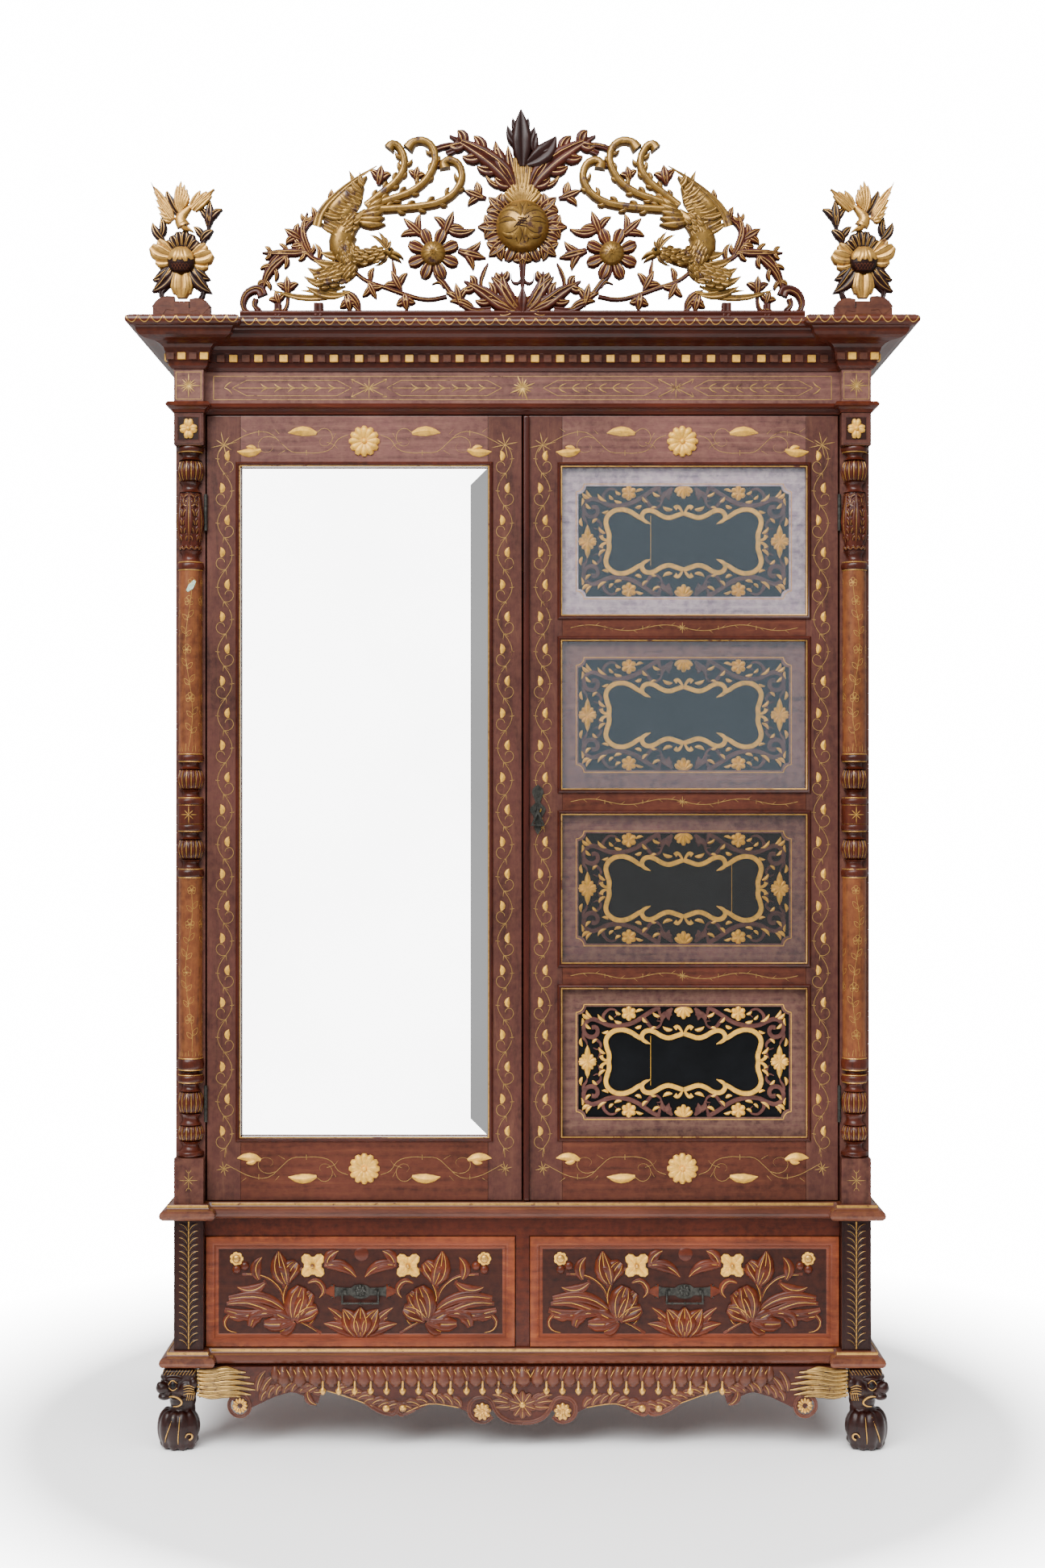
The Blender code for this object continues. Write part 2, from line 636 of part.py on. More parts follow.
def make_cupboard(m):
    low, high = z_doors + SEAM, z_top
    outer = half_w - SIDE_INSET
    inside = outer - PANEL_T - SEAM
    panel_back = back_y - BACK_INSET
    shelf_z = z_top - SHELF_DROP
    shelf_front = face_y + POST_D + SHELF_SETBACK
    shelf_back = panel_back - BACK_T - SEAM
    rail_place = ((shelf_front + shelf_back) / 2, shelf_z - RAIL_DROP)
    for side, sign in (("left", -1), ("right", 1)):
        make_post(side, sign, m)
        make_column(side, sign, m)
        x0, x1 = sorted((sign * outer, sign * (outer - PANEL_T)))
        panel_low = (x0, face_y + POST_D + SEAM, low)
        panel = board(f"side_panel_{side}", panel_low, (x1, back_y, high), m["wood"])
        x0, x1 = sorted((sign * (outer - PANEL_T / 2), sign * (outer - PANEL_T - CLEAT_T)))
        cleat = board(f"cleat_{side}", (x0, shelf_front, shelf_z - CLEAT_H),
                      (x1, shelf_back, shelf_z - SEAM), m["inner"])
        boolean(panel, cleat, "UNION")
        drill(panel, (sign * (inside - CLEAT_T), *rail_place), "X", RAIL_R + SEAM, 2 * RAIL_SEAT)
    board("back_panel", (-inside, panel_back - BACK_T, low), (inside, panel_back, high), m["inner"])

    board("hat_shelf", (-inside, shelf_front, shelf_z), (inside, shelf_back, shelf_z + PANEL_T), m["inner"])
    rail_half = inside - CLEAT_T + RAIL_SEAT - 2 * SEAM
    rod("hanging_rail", (0, *rail_place), "X", RAIL_R, 2 * rail_half, m["inner"])

    edge = quarter(0.0145, ARCHITRAVE_OUT - 0.0035, 0.0035, 0.0035, -90, 60, 3)
    profile = [(SEAM, 0.002), (0.006, 0.004), (0.010, 0.009), *edge, (TOP_T, ARCHITRAVE_OUT - 0.004)]
    moulded_slab("top_moulding", z_top, profile, m["wood"])

    frieze = moulded_slab("frieze_frame", z_frieze, [(SEAM, 0.0), (FRIEZE_H, 0.0)], m["wood"])
    hollow_half = half_w - FRIEZE_WALL
    pocket(frieze, (-hollow_half, face_y + FRIEZE_WALL, z_frieze - 0.01),
           (hollow_half, back_y - FRIEZE_WALL, z_cornice + 0.01))

    cornice = moulded_slab("cornice", z_cornice, cornice_profile(), m["wood"])
    pocket(cornice, (-hollow_half, face_y + FRIEZE_WALL, z_cornice - 0.01),
           (hollow_half, back_y - FRIEZE_WALL, z_crest - PANEL_T))


def make_crest(m):
    """A pierced arched board with a round boss, and the two finials that stand on the corner blocks."""
    base = z_crest + SEAM
    y = face_y - CREST_FORWARD
    w, h = finial_x - FINIAL_W / 2 - CREST_GAP, CREST_H
    half = [
        (0.000, 1.00, 1), (0.055, 0.88), (0.110, 0.80), (0.258, 0.90), (0.277, 0.84), (0.369, 0.84),
        (0.470, 0.83), (0.526, 0.66), (0.655, 0.66), (0.729, 0.56), (0.793, 0.44), (0.867, 0.36),
        (0.930, 0.28), (0.940, 0.18), (0.975, 0.12), (0.960, 0.06), (1.000, 0.01), (1.000, 0.00, 1),
    ]
    holes = [
        [(0.157, 0.61), (0.212, 0.73), (0.277, 0.73), (0.249, 0.61)],
        [(0.314, 0.62), (0.323, 0.73), (0.397, 0.75), (0.415, 0.63)],
        [(0.055, 0.07), (0.083, 0.23), (0.194, 0.27), (0.185, 0.10)],
        [(0.231, 0.09), (0.249, 0.21), (0.378, 0.19), (0.397, 0.09)],
        [(0.351, 0.27), (0.369, 0.36), (0.443, 0.38), (0.443, 0.28)],
        [(0.452, 0.09), (0.461, 0.19), (0.554, 0.18), (0.554, 0.09)],
        [(0.618, 0.07), (0.627, 0.15), (0.775, 0.17), (0.793, 0.07)],
        [(0.720, 0.27), (0.729, 0.36), (0.812, 0.33), (0.812, 0.24)],
    ]
    pierced = holes + [[(-x, z) for x, z in reversed(hole)] for hole in holes]
    outlines = [[(x * w, z * h, *corner) for x, z, *corner in line] for line in (mirrored(half), *pierced)]
    crest = flat_curve("crest", outlines, CREST_T, (0, y, base), m["gilt"], 2)
    bm = bmesh.new()
    bmesh.ops.create_uvsphere(bm, u_segments=14, v_segments=8, radius=BOSS_R)
    bmesh.ops.scale(bm, vec=(1.0, 0.72, 1.0), verts=bm.verts)
    bmesh.ops.translate(bm, vec=(0, y - CREST_T / 4, base + h * 0.45), verts=bm.verts)
    boolean(crest, finish_mesh("crest_boss", bm, m["gilt"], 60), "UNION")

    fw, fh = FINIAL_W / 2, FINIAL_H
    finial_half = [
        (0.0, fh * 0.90), (fw * 0.55, fh * 0.99), (fw * 0.95, fh * 0.88), (fw * 0.85, fh * 0.60),
        (fw, fh * 0.42), (fw * 0.95, fh * 0.18), (fw * 0.72, fh * 0.10), (fw, 0.012), (fw, 0.0, 1),
    ]
    for side, sign in (("left", -1), ("right", 1)):
        place = (sign * finial_x, y, base)
        flat_curve(f"finial_{side}", [mirrored(finial_half)], FINIAL_T, place, m["gilt"], 3)


# ---------------------------------------------------------------- doors
def door_layers():
    """Front faces of the layers inside a door, from the lip backwards."""
    glass = face_y + LIP + SEAM
    fret = glass + GLASS_T + SEAM
    dark = fret + FRET_T + SEAM
    return glass, fret, dark


def make_left_door(m):
    x0 = -opening_half + HINGE_GAP
    x1 = x0 + door_w
    back = face_y + DOOR_T
    frame = board("left_door_frame", (x0, face_y, door_low), (x1, back, door_high), m["wood"])
    sight = (x0 + LEFT_STILE, x1 - LEFT_STILE)
    pocket(frame, (sight[0], face_y - 0.01, sight_low), (sight[1], back + 0.01, sight_high))
    pocket(frame, (sight[0] - REBATE, face_y + LIP, sight_low - REBATE),
           (sight[1] + REBATE, back + 0.01, sight_high + REBATE))

    grow = REBATE - REBATE_GAP
    low = Vector((sight[0] - grow, 0, sight_low - grow))
    high = Vector((sight[1] + grow, 0, sight_high + grow))
    front = face_y + LIP + SEAM
    inset = MIRROR_BEVEL + grow

    def sheet_ring(y, by):
        return [(low.x + by, y, low.z + by), (high.x - by, y, low.z + by),
                (high.x - by, y, high.z - by), (low.x + by, y, high.z - by)]

    bevel_y = front + MIRROR_T - MIRROR_EDGE_T
    rings = [sheet_ring(front, inset), sheet_ring(bevel_y, grow), sheet_ring(bevel_y, 0.0),
             sheet_ring(front + MIRROR_T, 0.0)]
    mirror = loft("mirror_plate", rings, m["mirror"])
    rear = front + MIRROR_T + SEAM
    backing = board("mirror_backboard", (low.x, rear, low.z), (high.x, rear + BOARD_T, high.z), m["inner"])
    return [frame, mirror, backing]


def panel_openings():
    """(lowest, highest) height of each opening of the right door, from the top down."""
    found = []
    top = sight_high
    for _ in range(PANEL_COUNT):
        found.append((top - panel_h, top))
        top -= panel_h + MID_RAIL
    return found


def make_right_door(m):
    x1 = opening_half - HINGE_GAP
    x0 = x1 - door_w
    back = face_y + DOOR_T
    glass_y, fret_y, dark_y = door_layers()
    frame = board("right_door_frame", (x0, face_y, door_low), (x1, back, door_high), m["wood"])
    left, right = x0 + RIGHT_STILE_INNER, x1 - RIGHT_STILE_OUTER
    pieces = [frame]
    grow = REBATE - REBATE_GAP
    for number, (low, high) in enumerate(panel_openings(), start=1):
        pocket(frame, (left, face_y - 0.01, low), (right, back + 0.01, high))
        pocket(frame, (left - REBATE, face_y + LIP, low - REBATE),
               (right + REBATE, back + 0.02, high + REBATE))
        if number < PANEL_COUNT:  # the lowest opening has no pane
            pieces.append(board(f"glass_pane_{number}", (left - grow, glass_y, low - grow),
                                (right + grow, glass_y + GLASS_T, high + grow), m["glass"]))
        fret = board(f"fret_panel_{number}", (left - grow, fret_y, low - grow),
                     (right + grow, fret_y + FRET_T, high + grow), m["wood"])
        pocket(fret, (left + FRET_MARGIN_X, fret_y - 0.01, low + FRET_MARGIN_Z),
               (right - FRET_MARGIN_X, fret_y + FRET_T + 0.01, high - FRET_MARGIN_Z))
        pieces.append(fret)
    board_low, board_high = sight_low - REBATE, sight_high + REBATE
    pocket(frame, (left - REBATE, dark_y - SEAM, board_low), (right + REBATE, back + 0.03, board_high))
    pieces.append(board("right_door_backboard", (left - grow, dark_y, board_low + REBATE_GAP),
                        (right + grow, dark_y + DARK_BOARD_T, board_high - REBATE_GAP), m["black"]))

    bead = rod("meeting_bead", (x0 + BEAD_W / 2, face_y, (door_low + door_high) / 2), "Z", BEAD_W / 2,
               door_high - door_low, m["wood"], 12)
    flatten = Matrix.Diagonal((1, BEAD_PROUD / (BEAD_W / 2), 1, 1))
    to_face = Matrix.Translation((0, face_y, 0))
    bead.data.transform(to_face @ flatten @ to_face.inverted())
    boolean(frame, bead, "UNION")
    return pieces


def make_door_pull(m):
    """A shaped iron plate with two pierced ears, and a triangular drop that swings in them."""
    w, h = DOOR_PULL_W / 2, DOOR_PULL_H / 2
    front = face_y - SEAM
    centre_z = pull_z
    plate_mid = centre_z - 0.003
    half = [
        (0.0, h, 1), (w * 0.55, h * 0.86), (w * 0.72, h * 0.66), (w * 0.30, h * 0.30), (w * 0.55, h * 0.20),
        (w, h * 0.02), (w * 0.62, -h * 0.22), (w * 0.42, -h * 0.45), (w * 0.40, -h * 0.78), (0.0, -h, 1),
    ]
    plate_place = (pull_x, front - PLATE_T / 2, plate_mid)
    plate = flat_curve("door_pull_plate", [mirrored(half)], PLATE_T, plate_place, m["iron"], 2)
    axis_y = front - PLATE_T - CLEVIS_AXIS_PROUD
    ear = CLEVIS_GAP / 2 + CLEVIS_EAR_T / 2
    for sign in (-1, 1):
        x = pull_x + sign * ear
        lug = board(f"lug_{sign}", (x - CLEVIS_EAR_T / 2, axis_y - 0.003, centre_z - 0.004),
                    (x + CLEVIS_EAR_T / 2, front - PLATE_T / 2, centre_z + 0.004), m["iron"])
        boolean(plate, lug, "UNION")
    drill(plate, (pull_x, axis_y, centre_z), "X", eye_hole_r, 4 * ear, 12)

    neck, foot, bar = CLEVIS_GAP / 2 - DROP_CLEAR, DROP_W / 2, 2 * DROP_R
    outer = [(neck, 0.0025, 1), (neck, -DROP_NECK, 1), (foot, -DROP_H, 1)]
    inner = [(neck * 0.2, -DROP_NECK - 1.8 * bar, 1), (foot - 1.7 * bar, -DROP_H + bar, 1)]
    axis = (pull_x, axis_y, centre_z)
    drop = flat_curve("door_drop_pull", [mirrored(outer), mirrored(inner)], bar, axis, m["iron"], 1)
    pin = rod("drop_pin", axis, "X", BAIL_R, 2 * ear, m["iron"], 12)
    boolean(drop, pin, "UNION")
    swing = axis_empty("drop_pull_axis", axis)
    hang_on(swing, drop)
    return plate


def make_hinge(side, sign, level, centre_z, m):
    """A butt hinge: the frame leaf has the outer knuckles and the pin, the door leaf the middle knuckle."""
    x, y = sign * hinge_x, hinge_y
    half = HINGE_H / 2
    knuckle = HINGE_H / 3
    cut = knuckle / 2 + KNUCKLE_GAP / 2
    near, far, joint = face_y + 0.0008, face_y + HINGE_LEAF_D, hinge_y
    leaf_off = HINGE_GAP / 2 - SEAM

    def leaf_range(towards_post):
        direction = sign if towards_post else -sign
        return sorted((x + direction * leaf_off, x + direction * (leaf_off - HINGE_LEAF_T)))

    frame_outline = [
        (far, centre_z - half), (joint, centre_z - half), (joint, centre_z - cut), (near, centre_z - cut),
        (near, centre_z + cut), (joint, centre_z + cut), (joint, centre_z + half), (far, centre_z + half),
    ]
    frame_leaf = prism(f"hinge_{side}_{level}_frame_leaf", frame_outline, "X", *leaf_range(True), m["iron"])
    knuckle_length = half - cut
    for up in (-1, 1):
        centre = (x, y, centre_z + up * (cut + knuckle_length / 2))
        barrel = rod(f"knuckle_{side}_{level}_{up}", centre, "Z", KNUCKLE_R, knuckle_length, m["iron"], 12)
        boolean(frame_leaf, barrel, "UNION")
    pin = rod(f"pin_{side}_{level}", (x, y, centre_z), "Z", PIN_R, HINGE_H - 0.004, m["iron"], 12)
    boolean(frame_leaf, pin, "UNION")

    tab = cut - KNUCKLE_GAP
    door_outline = [
        (far, centre_z - half), (near, centre_z - half), (near, centre_z - tab), (joint, centre_z - tab),
        (joint, centre_z + tab), (near, centre_z + tab), (near, centre_z + half), (far, centre_z + half),
    ]
    door_leaf = prism(f"hinge_{side}_{level}_door_leaf", door_outline, "X", *leaf_range(False), m["iron"])
    sleeve = rod(f"sleeve_{side}_{level}", (x, y, centre_z), "Z", KNUCKLE_R, 2 * tab, m["iron"], 12)
    boolean(door_leaf, sleeve, "UNION")
    drill(door_leaf, (x, y, centre_z), "Z", PIN_R + PIN_CLEAR, HINGE_H, 12)
    return door_leaf


def make_doors(m):
    moving = {"left": make_left_door(m), "right": make_right_door(m) + [make_door_pull(m)]}
    for side, sign in (("left", -1), ("right", 1)):
        for level, height in (("lower", door_low + HINGE_END), ("upper", door_high - HINGE_END)):
            moving[side].append(make_hinge(side, sign, level, height, m))
        hang_on(axis_empty(f"door_axis_{side}", (sign * hinge_x, hinge_y, door_low)), *moving[side])


# ---------------------------------------------------------------- build
def main():
    for obj in list(bpy.data.objects):
        bpy.data.objects.remove(obj, do_unlink=True)
    m = make_materials()
    make_base(m)
    make_case(m)
    for side, sign in (("left", -1), ("right", 1)):
        make_drawer(side, sign, m)
    make_cupboard(m)
    make_doors(m)
    make_crest(m)


main()
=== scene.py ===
import math

import bpy
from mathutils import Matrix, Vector


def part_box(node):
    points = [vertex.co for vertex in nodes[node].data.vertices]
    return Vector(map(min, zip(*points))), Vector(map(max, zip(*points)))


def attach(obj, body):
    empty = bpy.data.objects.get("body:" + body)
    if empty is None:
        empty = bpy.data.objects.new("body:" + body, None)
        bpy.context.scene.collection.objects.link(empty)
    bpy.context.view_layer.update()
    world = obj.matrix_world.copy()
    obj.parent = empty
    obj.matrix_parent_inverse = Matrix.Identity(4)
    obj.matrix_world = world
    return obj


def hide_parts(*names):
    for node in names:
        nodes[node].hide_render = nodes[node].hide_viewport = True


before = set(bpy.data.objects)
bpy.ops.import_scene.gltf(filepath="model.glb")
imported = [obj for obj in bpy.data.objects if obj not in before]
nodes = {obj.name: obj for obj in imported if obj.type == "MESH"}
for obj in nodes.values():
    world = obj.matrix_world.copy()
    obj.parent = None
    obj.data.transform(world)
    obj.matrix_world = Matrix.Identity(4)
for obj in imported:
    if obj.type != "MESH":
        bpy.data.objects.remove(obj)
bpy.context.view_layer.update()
bpy.ops.object.select_all(action="DESELECT")
mm = 0.001

# main planes and heights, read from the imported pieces
postLow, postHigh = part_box("post_left")
doorLow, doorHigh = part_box("left_door_frame")
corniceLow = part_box("cornice")[0]
faceY = doorLow.y
stepY = postLow.y
halfW = -postLow.x
postIn = -postHigh.x


# small helpers
def pick(*objects):
    # select these and make the first one active
    bpy.ops.object.select_all(action="DESELECT")
    for obj in objects:
        obj.select_set(True)
    bpy.context.view_layer.objects.active = objects[0]


def bake(obj):
    # modifiers and place go into the mesh
    pick(obj)
    bpy.ops.object.convert(target="MESH")
    bpy.ops.object.transform_apply()
    return obj


def joined(name, objects, smooth=40):
    pick(*objects)
    if len(objects) > 1:
        bpy.ops.object.join()
    obj = bpy.context.object
    obj.name = obj.data.name = name
    pick(obj)
    if smooth:
        bpy.ops.object.shade_smooth_by_angle(angle=math.radians(smooth))
    return obj


def dress(obj, look):
    obj.data.materials.clear()
    obj.data.materials.append(looks[look])
    return obj


def place(obj, body):
    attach(obj, body)


def block(name, low, high, bevel=0.0, segments=2):
    # a board between two corners with eased edges
    size = [b - a for a, b in zip(low, high)]
    middle = [(a + b) / 2 for a, b in zip(low, high)]
    bpy.ops.mesh.primitive_cube_add(size=1, location=middle)
    obj = bpy.context.object
    obj.name = name
    obj.scale = size
    bpy.ops.object.transform_apply()
    if bevel:
        bpy.ops.object.mode_set(mode="EDIT")
        bpy.ops.mesh.select_all(action="SELECT")
        bpy.ops.mesh.bevel(offset=bevel, segments=segments, profile=0.6)
        bpy.ops.object.mode_set(mode="OBJECT")
    return obj


def knob(name, centre, radii, segments=16, rings=10):
    bpy.ops.mesh.primitive_uv_sphere_add(segments=segments, ring_count=rings, radius=1, location=centre)
    obj = bpy.context.object
    obj.name = name
    obj.scale = radii
    bpy.ops.object.transform_apply()
    return obj


def rod(centre, radius, depth, vertices, turn=(0, 0, 0)):
    bpy.ops.mesh.primitive_cylinder_add(vertices=vertices, radius=radius, depth=depth, location=centre,
        rotation=turn)
    return bake(bpy.context.object)


# shader groups
def newGroup(name, inputs, outputs):
    group = bpy.data.node_groups.new(name, "ShaderNodeTree")
    for label, kind, value in inputs:
        socket = group.interface.new_socket(name=label, in_out="INPUT", socket_type=kind)
        if value is not None:
            socket.default_value = value
    for label, kind in outputs:
        group.interface.new_socket(name=label, in_out="OUTPUT", socket_type=kind)
    return group, group.nodes.new("NodeGroupInput"), group.nodes.new("NodeGroupOutput")


def addNode(tree, kind, links=(), **values):
    # links are (input, socket) pairs; other values set attributes or inputs
    node = tree.nodes.new(kind)
    for key, value in values.items():
        if key in node.inputs:
            node.inputs[key].default_value = value
        else:
            setattr(node, key, value)
    for key, socket in links:
        tree.links.new(socket, node.inputs[key])
    return node


def stretched(tree, vector, scale):
    return addNode(tree, "ShaderNodeMapping", [("Vector", vector)], Scale=scale).outputs["Vector"]


def ramp(tree, factor, stops):
    node = addNode(tree, "ShaderNodeValToRGB", [("Fac", factor)])
    elements = node.color_ramp.elements
    while len(elements) < len(stops):
        elements.new(0.5)
    for element, (position, colour) in zip(elements, stops):
        element.position = position
        element.color = (*colour, 1) if len(colour) == 3 else colour
    return node.outputs["Color"]


def grey(value):
    return (value, value, value)


def remapped(tree, value, ends, results=(0, 1)):
    node = addNode(tree, "ShaderNodeMapRange", [("Value", value)])
    for label, number in zip(("From Min", "From Max", "To Min", "To Max"), (*ends, *results)):
        node.inputs[label].default_value = number
    return node.outputs["Result"]


def maths(tree, operation, a, b):
    node = tree.nodes.new("ShaderNodeMath")
    node.operation = operation
    for socket, value in zip(node.inputs, (a, b)):
        if isinstance(value, (int, float)):
            socket.default_value = value
        else:
            tree.links.new(value, socket)
    return node.outputs["Value"]


def blended(tree, factor, a, b, kind="MIX"):
    node = tree.nodes.new("ShaderNodeMix")
    node.data_type = "RGBA"
    node.blend_type = kind
    sockets = [s for s in node.inputs if s.type == "RGBA"]
    for socket, value in zip([node.inputs["Factor"], *sockets], (factor, a, b)):
        if isinstance(value, (int, float)):
            socket.default_value = value
        elif isinstance(value, tuple):
            socket.default_value = (*value, 1)
        else:
            tree.links.new(value, socket)
    return [s for s in node.outputs if s.type == "RGBA"][0]


def makeGrainGroup():
    # long figure, fine pores and slow blotches; Vector is already stretched along the grain
    group, start, end = newGroup(
        "woodGrain",
        [("Vector", "NodeSocketVector", None), ("Place", "NodeSocketVector", None)],
        [("Figure", "NodeSocketFloat"), ("Pores", "NodeSocketFloat"), ("Blotch", "NodeSocketFloat")],
    )
    figure = addNode(group, "ShaderNodeTexNoise", [("Vector", start.outputs["Vector"])],
                     Scale=9.0, Detail=6.0, Roughness=0.62, Distortion=0.9)
    band = addNode(group, "ShaderNodeTexWave", [("Vector", start.outputs["Vector"])], wave_type="RINGS",
                   Scale=1.6, Distortion=7.0, Detail=3.0)
    mixed = maths(group, "ADD", maths(group, "MULTIPLY", figure.outputs["Fac"], 0.75),
                  maths(group, "MULTIPLY", band.outputs["Fac"], 0.25))
    pores = addNode(group, "ShaderNodeTexNoise", [("Vector", start.outputs["Vector"])],
                    Scale=95.0, Detail=2.0, Roughness=0.5)
    blotch = addNode(group, "ShaderNodeTexNoise", [("Vector", start.outputs["Place"])],
                     Scale=5.0, Detail=3.0, Roughness=0.55)
    group.links.new(mixed, end.inputs["Figure"])
    group.links.new(pores.outputs["Fac"], end.inputs["Pores"])
    group.links.new(blotch.outputs["Fac"], end.inputs["Blotch"])
    return group


def makeWearAndShadeGroup():
    # Edge is bright on ridges, for rubbed wear; the hollow mask is bright in grooves, for dark wax and
    # painted shade; both broken up by noise
    group, start, end = newGroup(
        "edgeWearAndHollowShade",
        [("Place", "NodeSocketVector", None), ("Breakup", "NodeSocketFloat", 60.0)],
        [("Edge", "NodeSocketFloat"), ("HollowWaxAndShade", "NodeSocketFloat"), ("Speckle", "NodeSocketFloat")],
    )
    geometry = group.nodes.new("ShaderNodeNewGeometry")
    speckle = addNode(group, "ShaderNodeTexNoise", [("Vector", start.outputs["Place"]),
        ("Scale", start.outputs["Breakup"])],
                      Detail=4.0, Roughness=0.65)
    ridge = remapped(group, geometry.outputs["Pointiness"], (0.515, 0.60))
    groove = remapped(group, geometry.outputs["Pointiness"], (0.485, 0.40))
    broken = remapped(group, speckle.outputs["Fac"], (0.38, 0.62))
    group.links.new(maths(group, "MULTIPLY", ridge, broken),
        end.inputs["Edge"])
    group.links.new(groove, end.inputs["HollowWaxAndShade"])
    group.links.new(speckle.outputs["Fac"], end.inputs["Speckle"])
    return group


grainGroup = makeGrainGroup()
wearAndShadeGroup = makeWearAndShadeGroup()


def startMaterial(name):
    material = bpy.data.materials.new(name)
    material.use_nodes = True
    tree = material.node_tree
    shader = tree.nodes["Principled BSDF"]
    where = tree.nodes.new("ShaderNodeTexCoord").outputs["Object"]
    return material, tree, shader, where


def bumped(tree, shader, height, strength, distance):
    bump = addNode(tree, "ShaderNodeBump", [("Height", height)], Strength=strength, Distance=distance)
    tree.links.new(bump.outputs["Normal"], shader.inputs["Normal"])


woodLooks = {
    # deep serves the dark streaks of the grain, and is laid into hollows as dark wax and painted shade
    "deep": (0.026, 0.0058, 0.0034),      # dark streaks and hollows
    "body": (0.062, 0.0135, 0.0072),      # the usual red-brown
    "light": (0.112, 0.0300, 0.0125),     # worn, orange where rubbed
}
grainWays = {"x": (0.9, 11.0, 11.0), "z": (11.0, 11.0, 0.9), "y": (11.0, 0.9, 11.0)}


def makeWood(name, way, tint=(1.0, 1.0, 1.0), roughness=0.34, coat=0.35, carved=False):
    material, tree, shader, where = startMaterial(name)
    grain = addNode(tree, "ShaderNodeGroup", node_tree=grainGroup)
    tree.links.new(stretched(tree, where, grainWays[way]), grain.inputs["Vector"])
    tree.links.new(where, grain.inputs["Place"])
    wearAndShade = addNode(tree, "ShaderNodeGroup", [("Place", where)], node_tree=wearAndShadeGroup, Breakup=70.0)
    shades = {key: tuple(a * b for a, b in zip(colour, tint)) for key, colour in woodLooks.items()}
    base = ramp(tree, grain.outputs["Figure"],
                [(0.22, shades["deep"]), (0.46, shades["body"]), (0.60, shades["body"]),
                    (0.84, shades["light"])])
    blotch = ramp(tree, grain.outputs["Blotch"], [(0.35, grey(0.72)), (0.65, grey(1.22))])
    base = blended(tree, 1.0, base, blotch, "MULTIPLY")
    pores = ramp(tree, grain.outputs["Pores"], [(0.34, grey(0.55)), (0.46, grey(1.0))])
    base = blended(tree, 0.6, base, pores, "MULTIPLY")
    base = blended(tree, maths(tree, "MULTIPLY", wearAndShade.outputs["Edge"], 0.55), base, shades["light"])
    # dark wax and painted shade: the deep colour is laid into grooves and hollows by the hollow mask, more
    # on carved pieces
    base = blended(tree, maths(tree, "MULTIPLY", wearAndShade.outputs["HollowWaxAndShade"], 0.9 if carved else 0.6), base,
        shades["deep"])
    tree.links.new(base, shader.inputs["Base Color"])
    rough = remapped(tree, grain.outputs["Blotch"], (0, 1), (roughness - 0.06, roughness + 0.12))
    tree.links.new(rough, shader.inputs["Roughness"])
    shader.inputs["Specular IOR Level"].default_value = 0.25
    shader.inputs["Coat Weight"].default_value = coat * 0.4
    shader.inputs["Coat Roughness"].default_value = 0.16
    height = maths(tree, "ADD", maths(tree, "MULTIPLY", grain.outputs["Pores"], 0.7),
                   maths(tree, "MULTIPLY", wearAndShade.outputs["Speckle"], 0.5 if carved else 0.15))
    bumped(tree, shader, height, 0.22, 0.0006)
    return material


def makeGilt(name, gold, under, wornAt=0.40, metallic=0.62, roughness=0.34):
    # leaf over red-brown size, rubbed through on the ridges, with the size colour laid into the cuts as dark
    # wax and painted shade
    material, tree, shader, where = startMaterial(name)
    wearAndShade = addNode(tree, "ShaderNodeGroup", [("Place", where)], node_tree=wearAndShadeGroup, Breakup=110.0)
    patches = addNode(tree, "ShaderNodeTexNoise", [("Vector", where)], Scale=38.0, Detail=5.0,
        Roughness=0.7)
    tone = ramp(tree, wearAndShade.outputs["Speckle"], [(0.3, tuple(c * 0.62 for c in gold)), (0.6, gold)])
    bare = ramp(tree, patches.outputs["Fac"], [(wornAt - 0.06, grey(1.0)), (wornAt + 0.02, grey(0.0))])
    colour = blended(tree, bare, tone, under)
    # dark wax and painted shade: the size colour is laid into the cuts by the hollow mask
    colour = blended(tree, maths(tree, "MULTIPLY", wearAndShade.outputs["HollowWaxAndShade"], 0.85), colour, under)
    tree.links.new(colour, shader.inputs["Base Color"])
    shine = maths(tree, "MULTIPLY", maths(tree, "SUBTRACT", 1.0, bare), metallic)
    tree.links.new(shine, shader.inputs["Metallic"])
    shader.inputs["Roughness"].default_value = roughness
    height = maths(tree, "ADD", wearAndShade.outputs["Speckle"], patches.outputs["Fac"])
    bumped(tree, shader, height, 0.25, 0.0005)
    return material


def makeFloor(name):
    # a pale floor that fades out round the piece
    material, tree, shader, where = startMaterial(name)
    shader.inputs["Base Color"].default_value = (0.93, 0.93, 0.93, 1)
    shader.inputs["Roughness"].default_value = 0.42
    distance = addNode(tree, "ShaderNodeVectorMath", [(0, where)], operation="LENGTH").outputs["Value"]
    tree.links.new(ramp(tree, maths(tree, "MULTIPLY", distance, 0.25),
        [(0.24, grey(1.0)), (0.40, grey(0.0))]), shader.inputs["Alpha"])
    return material


def makePlain(name, colour, roughness, metallic=0.0, mottled=0.25, scale=30.0, coat=0.0, gloss=0.5):
    material, tree, shader, where = startMaterial(name)
    cloud = addNode(tree, "ShaderNodeTexNoise", [("Vector", where)], Scale=scale, Detail=6.0,
        Roughness=0.65)
    low = tuple(c * (1 - mottled) for c in colour)
    high = tuple(min(1.0, c * (1 + mottled)) for c in colour)
    tree.links.new(ramp(tree, cloud.outputs["Fac"], [(0.35, low), (0.65, high)]),
        shader.inputs["Base Color"])
    shader.inputs["Roughness"].default_value = roughness
    shader.inputs["Metallic"].default_value = metallic
    shader.inputs["Coat Weight"].default_value = coat
    shader.inputs["Specular IOR Level"].default_value = gloss
    bumped(tree, shader, cloud.outputs["Fac"], 0.2, 0.0005)
    return material


